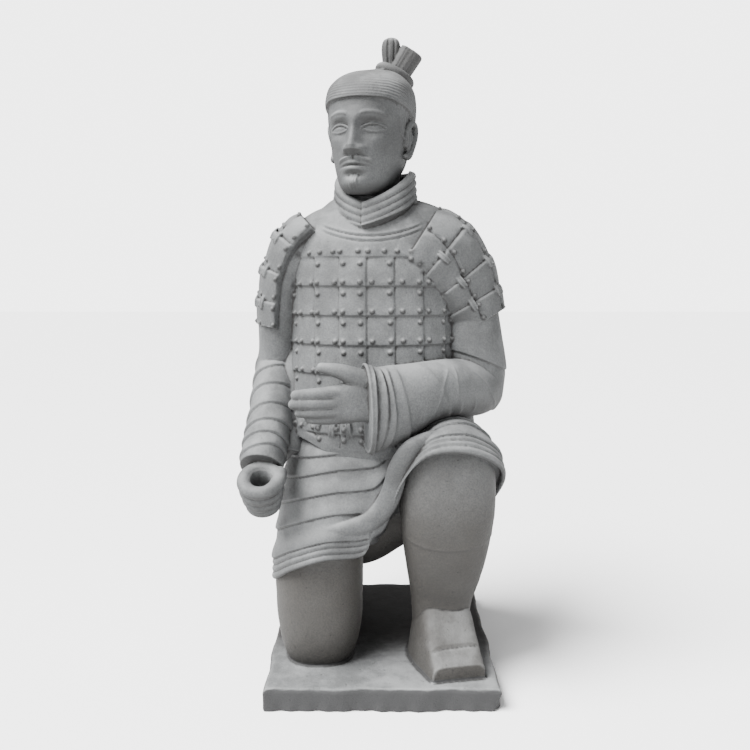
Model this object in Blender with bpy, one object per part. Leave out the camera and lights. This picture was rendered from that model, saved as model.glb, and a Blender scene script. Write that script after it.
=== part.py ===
"""Kneeling soldier carved with its plinth from one block of grey stone.

The frame is +Z up, with the origin at the centre of the plinth's underside.
The figure faces -Y. Its own measures are hundredths of its height, counted
from the plinth's top: x to the viewer's right, y to the back, z up.
"""

import math

import bmesh
import bpy
import numpy as np
from mathutils import Vector

# Driving sizes, in metres.
figure_height = 1.18  # plinth top to topknot
plinth_width = 0.428
plinth_depth = 0.500
plinth_height = 0.043
plinth_flare = 0.02  # how much wider the block is at its back
plinth_chamfer = 0.006
grip_hole_radius = 0.0192  # round hole through the closed fist
rivet_radius = 0.0052
voxel = 0.0032  # fineness at which the forms are carved into one skin
triangles_wanted = 7600  # before the rivets

unit = figure_height / 100
stone_grey = (0.30, 0.305, 0.30, 1.0)
front = np.array((0.0, -1.0, 0.0))

# Armour vest: heights in hundredths, from the plinth's top.
plate_row_top = 64.95
plate_row = 4.56
# places of the upright seams round the vest; the plates overlap away from the middle one
plate_seams = (
    -34.0, -29.4, -24.8, -20.2, -16.6, -13.3, -9.5, -5.35, -1.2, 3.05, 7.6, 11.9, 16.2, 20.6, 25.2, 29.8,
)
plate_middle = 7.5
vest_hem = 33.6
seam_width = 0.20
seam_depth = 0.34


def catmull_rom(rows, count, closed=False):
    """count points on a smooth curve through the rows."""
    rows = np.asarray(rows, float)
    spans = len(rows) if closed else len(rows) - 1
    place = np.linspace(0, spans, count, endpoint=not closed)
    start = np.minimum(place.astype(int), spans - 1)
    t = (place - start)[:, None]

    def pick(step):
        if closed:
            return rows[(start + step) % len(rows)]
        return rows[np.clip(start + step, 0, len(rows) - 1)]

    before, here, there, after = (pick(step) for step in (-1, 0, 1, 2))
    bend = 2 * before - 5 * here + 4 * there - after
    twist = 3 * here - before - 3 * there + after
    return 0.5 * (2 * here + (there - before) * t + bend * t**2 + twist * t**3)


def unit_rows(vectors):
    return vectors / np.maximum(np.linalg.norm(vectors, axis=-1, keepdims=True), 1e-9)


class Form:
    """A closed shape made of rings, with its points and outward normals kept as a grid."""

    def __init__(self, points, normals, looped=False):
        self.points = points
        self.normals = normals
        self.looped = looped  # the last ring joins the first, as on a pipe

    def raised(self, height):
        return Form(self.points + self.normals * height[..., None], self.normals, self.looped)

    def arc(self):
        """Signed length round each ring, from its first point."""
        step = np.linalg.norm(np.roll(self.points, -1, axis=1) - self.points, axis=2)
        length = np.cumsum(step, axis=1) - step
        whole = step.sum(axis=1, keepdims=True)
        return np.where(length > whole / 2, length - whole, length)

    def mesh(self):
        """Points and faces, with a fan closing each end."""
        rings, sides = self.points.shape[:2]
        index = np.arange(rings * sides).reshape(rings, sides)
        if self.looped:
            index = np.vstack([index, index[:1]])
        ahead = np.roll(index, -1, axis=1)
        quads = np.stack([index[:-1], ahead[:-1], ahead[1:], index[1:]], axis=-1)
        faces = quads.reshape(-1, 4).tolist()
        points = self.points.reshape(-1, 3)
        if self.looped:
            return points, faces
        poles = [self.points[0].mean(axis=0), self.points[-1].mean(axis=0)]
        for pole, ring in enumerate((index[0], index[-1][::-1])):
            tip = rings * sides + pole
            faces += [[tip, int(b), int(a)] for a, b in zip(ring, np.roll(ring, -1))]
        return np.vstack([points, poles]), faces


class Sheet:
    """A shaped plate, such as a shoulder guard: its outer face is a grid, and its back lies inside."""

    def __init__(self, points, normals, thickness):
        self.points = points
        self.normals = normals
        self.thickness = thickness

    def mesh(self):
        rows, columns = self.points.shape[:2]
        index = np.arange(rows * columns).reshape(rows, columns)
        back = index + rows * columns
        top = np.stack([index[:-1, :-1], index[:-1, 1:], index[1:, 1:], index[1:, :-1]], axis=-1)
        under = np.stack([back[:-1, :-1], back[1:, :-1], back[1:, 1:], back[:-1, 1:]], axis=-1)
        faces = top.reshape(-1, 4).tolist() + under.reshape(-1, 4).tolist()
        rim = np.concatenate([index[0, :-1], index[:-1, -1], index[-1, :0:-1], index[:0:-1, 0]])
        for a, b in zip(rim, np.roll(rim, -1)):
            faces.append([int(b), int(a), int(a + rows * columns), int(b + rows * columns)])
        inner = self.points - self.normals * self.thickness
        return np.vstack([self.points.reshape(-1, 3), inner.reshape(-1, 3)]), faces


def surface_normals(points, closed):
    """Normals of a grid of points. Each is turned away from the grid's middle."""
    along = np.gradient(points, axis=0)
    if closed:
        around = np.roll(points, -1, axis=1) - np.roll(points, 1, axis=1)
    else:
        around = np.gradient(points, axis=1)
    normals = unit_rows(np.cross(along, around))
    middle = points.mean(axis=(0, 1))
    return normals if ((points - middle) * normals).sum() > 0 else -normals


def limb(stations, along=60, around=64, facing=front, power=2.0, turn=1.0):
    """A form swept along stations of x, y, z, half depth and half width.

    Depth lies along facing, where angle 0 is, and width across it, on the side that turn picks."""
    rows = catmull_rom(stations, along)
    way = unit_rows(np.gradient(rows[:, :3], axis=0))
    facing = np.asarray(facing, float)
    forward = unit_rows(facing - (way @ facing)[:, None] * way)
    across = turn * np.cross(way, forward)
    angle = np.linspace(0, 2 * math.pi, around, endpoint=False)
    c, s = np.cos(angle), np.sin(angle)
    c_square = (np.sign(c) * np.abs(c) ** (2 / power))[:, None]
    s_square = (np.sign(s) * np.abs(s) ** (2 / power))[:, None]
    depth, width = rows[:, 3, None, None], rows[:, 4, None, None]
    forward, across = forward[:, None], across[:, None]
    points = rows[:, None, :3] + forward * depth * c_square + across * width * s_square
    normals = unit_rows(forward * width * c[:, None] + across * depth * s[:, None])
    return Form(points, normals)


def ball(centre, radii, turns=10):
    """A round form, such as a rivet."""
    lift = np.linspace(-math.pi / 2 + 0.15, math.pi / 2 - 0.15, turns)
    spin = np.linspace(0, 2 * math.pi, 2 * turns, endpoint=False)
    flat = np.cos(lift)[:, None]
    sphere = np.stack(
        [flat * np.cos(spin), flat * np.sin(spin), np.sin(lift)[:, None] + 0 * spin], axis=-1
    )
    return Form(np.asarray(centre) + sphere * np.asarray(radii), unit_rows(sphere))


def cord(points, radius, along=24, around=12):
    """A round bar through the points. radius is one number or one for each point."""
    radii = np.broadcast_to(np.asarray(radius, float), (len(points),))
    stations = np.column_stack([points, radii, radii])
    way = np.asarray(points[-1], float) - np.asarray(points[0], float)
    facing = np.eye(3)[np.argmin(np.abs(way))]
    body = limb(stations, along, around, facing=facing)
    ends = [ball(points[0], (radii[0],) * 3, 6), ball(points[-1], (radii[-1],) * 3, 6)]
    return [body] + ends


def ridge(distance, width):
    """1 on a line, falling smoothly to 0 at a width from it."""
    return np.clip(1 - (distance / width) ** 2, 0, 1) ** 2


def bump(x, z, wide, tall):
    return np.exp(-((x / wide) ** 2) - (z / tall) ** 2)


def ramp(value, low, high):
    """0 up to low, 1 from high, and smooth between."""
    share = np.clip((value - low) / (high - low), 0, 1)
    return share * share * (3 - 2 * share)


# Outlines of the figure, as stations of x, y, z, half depth and half width.
torso = [
    (-1.0, 0.2, 30.0, 12.2, 14.2),
    (-1.0, -0.2, 36.0, 12.9, 14.6),
    (-1.0, -0.4, 44.0, 11.9, 13.6),
    (-1.1, -0.3, 52.0, 11.1, 13.2),
    (-1.2, 0.1, 60.0, 10.3, 13.4),
    (-1.2, 0.7, 66.0, 9.3, 13.2),
    (-1.2, 1.5, 70.6, 7.4, 10.6),
    (-1.2, 1.9, 74.0, 6.0, 6.9),
]
left_shoulder = [
    (3.0, 1.6, 70.4, 6.6, 4.8),
    (8.0, 1.0, 68.8, 6.8, 4.7),
    (12.2, 0.6, 64.8, 6.6, 4.6),
    (14.2, 0.3, 60.2, 6.2, 4.6),
    (14.9, 0.0, 55.2, 6.0, 4.8),
    (15.3, -0.3, 50.0, 6.0, 5.15),
    (15.6, -0.8, 45.2, 6.0, 5.3),
    (15.8, -1.6, 41.6, 5.2, 4.6),
    (15.8, -2.0, 39.6, 3.0, 3.0),
]
left_forearm = [
    (16.4, -1.0, 43.6, 4.4, 4.6),
    (14.6, -4.5, 43.8, 4.5, 4.7),
    (10.4, -9.4, 44.4, 4.1, 4.6),
    (6.2, -12.5, 44.0, 3.8, 4.9),
    (2.6, -14.3, 43.0, 3.8, 5.8),
    (0.0, -15.4, 42.3, 3.8, 6.25),
    (-2.4, -16.0, 42.2, 3.7, 6.4),
]
right_shoulder = [
    (-5.2, 1.6, 69.9, 6.6, 4.7),
    (-10.0, 1.0, 68.4, 6.8, 4.3),
    (-13.6, 0.7, 64.6, 6.6, 4.4),
    (-16.0, 0.5, 59.6, 6.1, 4.1),
    (-16.7, 0.5, 54.6, 5.6, 4.0),
    (-17.0, 0.8, 49.4, 5.2, 3.8),
    (-17.7, 1.0, 45.4, 4.7, 3.9),
    (-17.7, 0.8, 42.6, 3.4, 3.0),
]
right_forearm = [
    (-17.6, 1.6, 47.4, 4.4, 3.6),
    (-17.7, -2.0, 43.8, 4.6, 3.7),
    (-18.0, -6.6, 39.2, 4.4, 3.6),
    (-18.5, -10.4, 35.3, 4.2, 3.5),
    (-18.8, -13.2, 32.4, 3.9, 3.4),
]
left_leg = [
    (10.3, -9.6, 36.8, 5.0, 5.0),
    (10.3, -10.6, 34.4, 6.9, 6.7),
    (10.4, -10.9, 30.5, 7.2, 7.45),
    (10.4, -10.7, 25.5, 7.1, 7.45),
    (10.3, -10.0, 20.0, 6.6, 6.95),
    (10.1, -9.2, 14.5, 5.6, 6.0),
    (9.8, -8.5, 9.8, 4.7, 5.0),
    (9.7, -8.2, 4.0, 4.5, 4.5),
    (9.7, -8.2, -1.0, 4.5, 4.5),
]
left_foot = [
    (9.0, -2.6, 1.6, 2.4, 2.6),
    (9.3, -5.0, 2.8, 3.6, 3.8),
    (9.8, -8.6, 4.4, 5.3, 4.6),
    (10.4, -11.8, 4.0, 5.3, 4.5),
    (10.9, -13.8, 2.9, 4.0, 4.4),
    (11.3, -15.7, 2.0, 2.7, 4.3),
    (11.7, -17.2, 1.1, 2.35, 4.2),
    (12.0, -18.5, 0.4, 2.0, 4.1),
]
right_knee = [
    (-9.4, 2.0, 29.0, 8.0, 7.0),
    (-9.8, -3.5, 22.0, 8.0, 7.0),
    (-10.2, -7.2, 16.0, 7.6, 7.2),
    (-10.2, -8.0, 11.0, 7.2, 7.1),
    (-10.1, -8.0, 6.4, 7.1, 6.4),
    (-10.1, -7.7, 2.9, 6.6, 5.7),
    (-10.1, -7.2, 0.7, 5.5, 4.6),
    (-10.1, -7.0, -0.8, 4.8, 3.9),
]
right_shin = [
    (-10.1, -8.0, 5.2, 5.2, 5.4),
    (-10.1, 0.0, 5.8, 6.4, 5.8),
    (-9.9, 8.0, 6.0, 6.8, 5.5),
    (-9.7, 13.0, 6.0, 5.4, 4.6),
    (-9.6, 15.4, 6.4, 4.4, 3.8),
]
right_foot = [
    (-9.6, 13.8, 17.4, 1.6, 2.4),
    (-9.6, 14.6, 15.0, 2.6, 3.4),
    (-9.6, 15.6, 10.0, 2.7, 3.6),
    (-9.7, 16.6, 5.0, 2.5, 4.1),
    (-9.7, 16.9, 2.0, 2.6, 4.5),
    (-9.7, 16.4, -0.8, 3.4, 4.5),
]

neck = [
    (-1.3, 1.2, 66.0, 5.2, 5.0),
    (-1.3, 0.6, 72.0, 5.0, 4.7),
    (-1.5, 0.0, 77.0, 4.9, 4.6),
    (-1.6, -0.2, 82.0, 5.0, 4.8),
]

# Head: height from under the chin, front, back and half width.
head_place = (-1.85, -1.1, 74.8)
head_turn = 17.0
head_outline = [
    (0.0, -6.6, 0.5, 2.0),
    (0.35, -7.9, 1.6, 3.0),
    (1.4, -8.6, 3.2, 4.0),
    (3.0, -8.5, 4.6, 4.7),
    (5.0, -8.4, 6.0, 5.3),
    (7.0, -8.3, 7.4, 5.7),
    (9.0, -8.2, 8.5, 5.95),
    (11.0, -8.3, 9.2, 6.15),
    (13.0, -8.2, 9.5, 6.35),
    (15.0, -7.6, 9.2, 6.45),
    (17.0, -6.1, 8.0, 6.1),
    (18.6, -4.0, 6.0, 4.9),
    (19.6, -1.8, 3.9, 3.2),
    (20.0, 0.2, 1.8, 1.2),
]
# The cap of combed hair ends in a step all round; shorter hair shows below it.
cap_degrees = (0, 40, 70, 90, 120, 150, 180)
cap_edge = (14.35, 14.2, 13.5, 12.7, 11.0, 9.2, 8.6)
short_degrees = (0, 58, 66, 72, 84, 96, 108, 140, 180)
short_edge = (15.7, 14.0, 12.0, 9.2, 8.4, 8.4, 5.0, 2.6, 2.2)
knot_place = (2.0, 2.4, 94.5)
collar_ridge = 1.12

# Shoulder guards: one plate row from each station to the next.
guard_height = 0.72
left_guard = [
    (5.6, 0.5, 66.2, 9.6, 8.0),
    (8.8, 0.5, 63.6, 9.0, 8.0),
    (11.8, 0.5, 60.4, 8.2, 7.2),
    (13.9, 0.3, 57.0, 7.3, 6.3),
    (15.5, 0.1, 54.0, 6.5, 5.4),
]
right_guard = [
    (-8.8, 0.5, 67.2, 8.6, 6.7),
    (-11.6, 0.5, 64.6, 8.0, 6.9),
    (-13.9, 0.5, 61.0, 7.3, 5.9),
    (-15.2, 0.4, 57.0, 6.7, 5.0),
    (-15.9, 0.3, 53.2, 6.0, 4.5),
]
guards = (
    (left_guard, -1.0, -12.0, 192.0, 5),
    (right_guard, 1.0, -4.0, 190.0, 5),
)

# Fist: the top end and the direction of its grip hole.
grip_top = (-18.42, -17.4, 32.1)
grip_axis = (0.0, -0.545, 0.839)
grip_reach = (2.62, 2.5, 2.3, 1.95)

palm = [
    (-0.5, -16.0, 43.6, 3.2, 1.6),
    (-3.0, -16.4, 43.6, 3.4, 1.75),
    (-5.8, -16.8, 43.2, 2.95, 1.5),
    (-8.4, -17.1, 43.1, 2.6, 1.15),
]
fingers = (
    (((-4.6, -16.7, 44.8), (-9.0, -17.5, 44.65), (-12.9, -17.0, 44.3)), (1.15, 1.02, 0.84)),
    (((-4.8, -16.9, 43.3), (-9.3, -17.7, 43.15), (-13.3, -17.2, 43.0)), (1.1, 1.0, 0.8)),
    (((-4.8, -16.9, 42.0), (-9.1, -17.6, 41.85), (-12.4, -17.1, 41.75)), (1.05, 0.95, 0.78)),
    (((-4.8, -16.5, 40.95), (-8.6, -17.2, 40.8), (-11.0, -16.9, 40.75)), (0.95, 0.86, 0.7)),
    (((-2.8, -16.4, 46.4), (-6.0, -17.2, 47.9), (-9.0, -16.9, 48.5)), (1.8, 1.2, 0.8)),
)
# where each fold of the folded sleeve starts, how it slants and how high it is
sleeve_folds = ((0.80, 0.09, 0.45), (0.715, 0.13, 0.40), (0.63, 0.05, 0.3))
vest_rivets = (-12.2, -9.9, -8.8, -6.0, -4.7, -2.1, -0.4, 2.4, 4.2, 6.8)
webs = (
    [(13.0, 0.0, 46.0, 5.0, 4.0), (14.0, -1.0, 40.0, 5.5, 4.0), (14.0, -2.0, 35.0, 6.0, 4.0)],
    [(-14.0, 0.0, 48.0, 4.5, 3.5), (-15.2, -3.5, 40.0, 4.0, 3.0), (-15.5, -7.5, 33.0, 3.5, 3.0)],
    [(-10.0, 6.0, 26.0, 6.0, 6.5), (-10.0, 8.0, 16.0, 7.0, 6.4), (-9.9, 9.0, 8.0, 5.0, 5.2)],
    [(-8.0, 1.0, 18.0, 5.5, 5.2), (0.0, 0.0, 19.2, 5.2, 5.0), (8.0, -1.5, 21.8, 5.2, 5.0)],
    [(-18.5, -9.5, 34.5, 2.8, 2.8), (-18.5, -12.4, 32.2, 2.7, 2.7), (-18.5, -14.4, 30.0, 2.6, 2.6)],
)

# The robe hangs from the waist to the hem: each column is a point at the
# waist, one halfway and one on the hem, going round from the front.
robe_columns = [
    ((-1.0, -12.4, 37.0), (-1.6, -14.9, 28.0), (-3.1, -15.8, 19.6)),
    ((3.0, -12.2, 37.0), (2.6, -14.2, 30.0), (0.6, -14.8, 23.4)),
    ((6.0, -11.4, 38.0), (5.2, -14.8, 35.6), (3.0, -17.7, 31.0)),
    ((8.5, -10.0, 38.5), (8.4, -15.2, 39.2), (6.8, -19.0, 35.4)),
    ((11.2, -7.6, 38.5), (12.8, -13.0, 39.6), (13.0, -19.2, 36.0)),
    ((12.4, -3.6, 38.0), (16.4, -8.6, 36.8), (17.7, -16.4, 33.2)),
    ((12.6, 1.0, 37.5), (16.8, -1.5, 33.0), (18.5, -6.4, 26.4)),
    ((11.6, 7.0, 37.0), (15.6, 8.0, 29.0), (16.4, 7.0, 18.0)),
    ((6.0, 11.0, 37.0), (9.5, 15.5, 27.0), (9.8, 16.6, 12.0)),
    ((-1.0, 12.2, 37.0), (-1.0, 17.2, 26.0), (-1.2, 19.0, 10.5)),
    ((-8.0, 11.0, 37.0), (-11.0, 15.4, 26.0), (-11.6, 18.0, 9.6)),
    ((-12.6, 6.0, 37.0), (-16.4, 8.4, 25.5), (-17.6, 9.4, 9.8)),
    ((-14.2, 0.6, 38.0), (-16.8, 0.0, 26.0), (-18.0, -2.6, 11.2)),
    ((-13.6, -4.6, 38.0), (-16.2, -8.0, 26.6), (-17.1, -11.4, 13.6)),
    ((-10.6, -9.2, 37.5), (-12.8, -13.4, 27.4), (-13.9, -16.0, 16.7)),
    ((-6.0, -11.8, 37.0), (-7.2, -15.4, 28.0), (-9.0, -17.6, 18.8)),
]
robe_underside = (0.5, 1.0, 15.8)
# how far down each of the four pleats lies, how wide the corded edge is and whether
# its cords show, at these columns
pleat_columns = (0, 1, 2, 3, 4, 5, 6, 8, 12, 13, 14, 15, 16)
robe_pleats = (
    (0.10, 0.06, 0.04, 0.06, 0.10, 0.15, 0.20, 0.22, 0.25, 0.24, 0.20, 0.14, 0.10),
    (0.24, 0.20, 0.16, 0.18, 0.22, 0.28, 0.34, 0.38, 0.40, 0.38, 0.34, 0.27, 0.24),
    (0.42, 0.38, 0.34, 0.35, 0.38, 0.42, 0.48, 0.53, 0.58, 0.55, 0.50, 0.45, 0.42),
    (0.61, 0.60, 0.58, 0.56, 0.56, 0.58, 0.62, 0.68, 0.74, 0.71, 0.67, 0.63, 0.61),
)
pleat_height = 0.42
hem_rims = (3.0, 1.2, 0.9, 2.3, 2.5, 2.5, 2.5, 2.8, 3.0, 3.0, 3.0, 3.0, 3.0)
hem_cords_show = (1, 0, 0, 1, 1, 1, 1, 1, 1, 1, 1, 1, 1)
hem_cords = 3


def vest():
    """The riveted vest: rows of plates below a plain yoke, with a hem that dips in front."""
    form = limb(torso, along=300, around=420, power=2.25)
    form.points = form.points[form.points[:, 0, 2] > vest_hem - 3.2]
    form.normals = form.normals[-len(form.points) :]
    arc = form.arc()
    z = form.points[..., 2]
    low = vest_hem - 0.2 + 3.0 * ramp(np.abs(arc + 1.6), 1.5, 12.0)
    row = (plate_row_top - z) / plate_row
    outward = np.abs(np.interp(arc, plate_seams, np.arange(len(plate_seams))) - plate_middle)
    side = np.where(outward < 0.5, 1.0, (outward - 0.5) % 1.0)
    seam_z = np.abs(row - np.round(row)) * plate_row
    seam_x = np.abs((outward - 0.5) - np.round(outward - 0.5)) * 4.2
    seam = np.maximum(ridge(seam_z, seam_width), ridge(seam_x, seam_width) * (outward > 0.2))
    plates = ramp(z, low + 1.2, low + 1.8)
    height = 0.5 + 0.3 * (1 - plates) + plates * (0.26 * (row % 1.0) + 0.22 * side - seam_depth * seam)
    yoke = ramp(z, plate_row_top, plate_row_top + 0.25)
    height = height * (1 - yoke) + 0.7 * yoke
    under = ramp(z, low - 0.2, low + 0.2)
    return form.raised(height * under - (0.5 + 2.2 * ramp(low - z, 0.0, 2.5)) * (1 - under))


def robe():
    """The skirt of the robe, with pleats running parallel to its hem."""
    columns = catmull_rom(np.array(robe_columns).reshape(len(robe_columns), -1), 360, closed=True)
    waist, middle, hem = columns[:, :3], columns[:, 3:6], columns[:, 6:]
    drop = np.linspace(0, 1, 150)[:, None, None]
    outside = (
        waist * (1 - drop) * (1 - 2 * drop) + middle * 4 * drop * (1 - drop) + hem * drop * (2 * drop - 1)
    )
    form = Form(outside, surface_normals(outside, True))
    length = np.linalg.norm(np.diff(outside, axis=0), axis=2).sum(axis=0)
    from_hem = (1 - drop[..., 0]) * length
    height = np.zeros(outside.shape[:2])
    share = drop[..., 0] + 0 * height
    column = np.linspace(0, len(robe_columns), outside.shape[1], endpoint=False)
    for shares in robe_pleats:
        gap = (share - np.interp(column, pleat_columns, shares)) * length
        height += pleat_height * ramp(gap, -2.8, -0.2) * ramp(-gap, -0.25, 0.05)
        height -= 0.18 * ridge(gap - 0.15, 0.32)
    rim = np.interp(column, pleat_columns, hem_rims)
    show = ramp(np.interp(column, pleat_columns, hem_cords_show), 0.35, 0.9)
    past = from_hem - rim
    swell = 0.62 * ramp(past, -0.2, 0.2) * ramp(-past, -3.2, -0.4)
    cords = 0.36 * np.abs(np.sin(math.pi * hem_cords * from_hem / rim)) ** 0.7
    edge = (1 - show) * 0.62
    lower = show * cords + edge * ramp(from_hem, -0.3, 0.5)
    upper = height * ramp(past, 0.0, 1.5) + np.maximum(swell, edge * ramp(-past, -3.2, -0.4))
    form = form.raised(np.where(past < 0, lower, upper))
    inward = unit_rows(np.array(robe_underside) - hem)
    lip = hem + inward * 0.45
    inner = lip + inward * 0.3 + (0, 0, 1.2)
    rings = [lip, inner]
    for share in (0.3, 0.6, 0.9):
        rings.append(inner + (np.array(robe_underside) - inner) * share)
    return Form(np.vstack([form.points, rings]), np.vstack([form.normals] + [form.normals[-1:]] * 5))


def sleeve(stations, rings, depth=0.4, turn=1.0, facing=front):
    """A sleeve whose cloth is pushed into rings, at these shares of its length."""
    form = limb(stations, 160, 128, facing=facing, power=2.1, turn=turn)
    share = np.linspace(0, 1, 160)
    height = np.zeros(160)
    for place in rings:
        gap = share - place
        height += depth * np.clip(1 + gap / 0.07, 0, 1) * (gap < 0)
        height -= 0.5 * depth * ridge(gap, 0.012)
    return form.raised(np.broadcast_to(height[:, None], form.points.shape[:2]))


def guard(stations, turn, start, end, columns):
    """A shoulder guard of overlapping plates over the angles from start to end, in degrees."""
    form = limb(stations, 240, 360, power=2.0, turn=turn)
    rows = len(stations) - 1
    row = np.linspace(0, rows, 240)[:, None]
    angle = np.linspace(0, 360, 360, endpoint=False)
    angle = np.where(angle > 270, angle - 360, angle)[None, :]
    column = (angle - start) / (end - start) * columns
    inside = np.clip((angle - start) / 3, 0, 1) * np.clip((end - angle) / 3, 0, 1)
    seam_row = ridge((row - np.round(row)) * 4.2, 0.3) * (np.round(row) > 0)
    seam_column = ridge((column - np.round(column)) * 3.6, 0.26)
    height = guard_height * (0.6 + 0.4 * (1 - row % 1.0)) - 0.26 * np.maximum(seam_row, seam_column)
    height = np.where(inside > 0, height * inside, -1.5)
    rivets = []
    for r in range(rows):
        for k in range(4):
            place = start + (end - start) * k / columns + (5.0 if k == 0 else 0.0)
            i = int((r + 0.8) / rows * 239)
            rivets.append((i, int(round(place)) % 360))
    form = form.raised(np.broadcast_to(height, form.points.shape[:2]))
    return form, [(form.points[i, j], form.normals[i, j]) for i, j in rivets]


def from_head(x, y, z):
    """A place in the head's own measures, from under the chin, in the figure's."""
    turn = math.radians(head_turn)
    across = np.asarray(x) * math.cos(turn) + np.asarray(y) * math.sin(turn)
    back = -np.asarray(x) * math.sin(turn) + np.asarray(y) * math.cos(turn)
    return np.stack([across + head_place[0], back + head_place[1], z + head_place[2] + 0 * across], -1)


def head():
    """The head with its hair, as one grid. Its features are soft bumps in front."""
    rows = catmull_rom(head_outline, 240)
    angle = np.linspace(0, 2 * math.pi, 360, endpoint=False)[None, :]
    z, face, nape, half = (rows[:, k, None] for k in range(4))
    middle = (face + nape) / 2 * 0.35 + 0.4
    deep = np.where(np.cos(angle) > 0, middle - face, nape - middle)
    c, s = np.cos(angle), np.sin(angle)
    power = 2 / 2.25
    x = half * np.sign(s) * np.abs(s) ** power
    y = middle - deep * np.sign(c) * np.abs(c) ** power
    z = z + 0 * x
    side = np.abs(x)
    near = np.clip((c - 0.05) / 0.25, 0, 1)
    nose_high = np.interp(z, (5.6, 6.0, 6.5, 7.1, 8.4, 9.8, 11, 12, 13.2), (0, 1.0, 2.2, 2.5, 1.95, 1.3, 0.85, 0.35, 0))
    nose_wide = np.interp(z, (5.6, 7.0, 8.5, 10, 12), (1.15, 1.15, 0.95, 0.85, 1.3))
    lip = 4.15 - 0.05 * side**2
    almond = np.clip(1 - ((side - 2.85) / 1.75) ** 2, 0, 1)
    out = nose_high * np.exp(-((side / nose_wide) ** 2.4))
    out += 1.0 * bump(side - 1.3, z - 6.6, 0.6, 0.7)
    out += 0.5 * bump(side - 2.9, z - 11.5, 2.7, 0.8)
    out -= 1.0 * bump(side - 2.7, z - 9.9, 1.7, 1.25)
    out += 0.72 * bump(side - 2.85, z - 9.75, 1.45, 0.72)
    out += 0.24 * ridge(z - (9.75 + 0.85 * almond), 0.3) * (almond > 0)
    out += 0.14 * ridge(z - (9.75 - 0.7 * almond), 0.26) * (almond > 0)
    out += 0.5 * bump(x, z - 4.6, 2.6, 2.0)
    out += 0.40 * bump(x, z - lip - 0.45, 1.75, 0.42)
    out += 0.48 * bump(x, z - lip + 0.55, 1.45, 0.48)
    out -= 0.42 * bump(x, z - lip, 1.9, 0.2)
    out -= 0.5 * bump(x, z - 2.7, 1.5, 0.55)
    out += 0.45 * bump(x, z - 1.5, 1.4, 0.9)
    out += 0.45 * bump(side - 4.1, z - 8.2, 1.5, 1.3)
    out -= 0.25 * bump(side - 3.9, z - 4.9, 1.3, 1.6)
    sweep = 5.35 - 0.16 * np.maximum(side - 0.4, 0) ** 1.6
    out += 0.28 * ridge(z - sweep, 0.5) * np.clip((3.1 - side) / 0.8, 0, 1) * np.clip(side / 0.35, 0, 1)
    out += 0.26 * np.clip((0.75 - side) / 0.2, 0, 1) * np.clip((z - 0.4) / 0.3, 0, 1) * np.clip((2.9 - z) / 0.3, 0, 1)
    brow = 12.25 - 0.10 * (side - 2.6) ** 2
    out += 0.24 * ridge(z - brow, 0.42) * np.clip((4.9 - side) / 0.6, 0, 1) * np.clip((side - 0.9) / 0.4, 0, 1)
    degrees = np.degrees(np.minimum(angle, 2 * math.pi - angle))
    cap = ramp(z - np.interp(degrees, cap_degrees, cap_edge), 0.0, 0.15)
    short = ramp(z - np.interp(degrees, short_degrees, short_edge), 0.0, 0.25) * (1 - cap)
    y = y - out * near
    normal = unit_rows(np.stack([x / half**2 * 6, (y - middle) / deep**2 * 6, (z - 9) * 0.02], -1))
    points = np.stack([x, y, z], -1) + normal * (0.62 * cap + 0.26 * short)[..., None]
    form = from_head(points[..., 0], points[..., 1], points[..., 2])
    return Form(form, surface_normals(form, True))


def ear(side):
    """An ear: a raised rim round a hollow, with a lobe below."""
    pieces = []
    rim = [(6.0, -0.6, 8.0), (6.5, -0.9, 10.2), (6.9, 0.2, 11.5), (7.1, 1.6, 11.0), (7.0, 1.9, 9.4), (6.7, 1.3, 7.6), (6.3, 0.2, 6.4), (6.0, -0.6, 6.3)]
    rim = [from_head(side * x, y, z) for x, y, z in rim]
    pieces += cord(rim, (0.45, 0.5, 0.55, 0.55, 0.55, 0.5, 0.65, 0.45), 40, 14)
    pieces.append(ball(from_head(side * 6.1, 0.5, 9.0), (0.75, 1.2, 2.3), 12))
    return pieces


def topknot():
    """The tied knot of hair: a band, an upright lobe and a thick one that leans aside."""
    centre = np.array(knot_place)
    lean = unit_rows(np.array((0.46, 0.04, 0.88)))
    right = unit_rows(np.cross((0, 1, 0), lean))
    deep = np.cross(lean, right)
    spin = np.linspace(0, 2 * math.pi, 48, endpoint=False)[:, None]
    path = centre + 2.35 * np.cos(spin) * right + 2.2 * np.sin(spin) * deep
    pieces = [hoop(path - lean * 0.1, centre, 0.95, lean)]
    x, y, z = centre
    stem = [(x - 1.0, y, z - 3.0, 3.0, 3.4), (x - 0.2, y, z - 0.8, 2.5, 2.7), (x + 0.4, y, z + 1.0, 1.8, 2.2)]
    pieces.append(limb(stem, 24, 40))
    upright = [
        (x - 0.5, y + 0.3, z + 0.2, 1.5, 1.38),
        (x - 0.5, y + 0.3, z + 2.2, 1.4, 1.33),
        (x - 0.45, y + 0.3, z + 4.6, 1.5, 1.57),
        (x - 0.4, y + 0.4, z + 5.9, 1.3, 1.3),
        (x - 0.4, y + 0.4, z + 6.5, 0.7, 0.65),
    ]
    pieces.append(limb(upright, 40, 40, power=2.3))
    aside = [
        (x + 0.5, y - 0.1, z + 0.2, 1.7, 1.66),
        (x + 1.5, y, z + 1.7, 1.75, 1.85),
        (x + 3.0, y + 0.1, z + 4.1, 1.8, 1.95),
    ]
    pieces.append(limb(aside, 40, 40, power=2.9))
    coil = [(-3.8, 0.6, 94.25, 0.35, 1.6), (-2.0, 0.6, 94.7, 0.5, 2.0), (0.2, 0.8, 94.9, 0.5, 2.0)]
    pieces.append(limb(coil, 24, 40, facing=(0, 0, 1), power=2.6))
    return pieces


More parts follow.
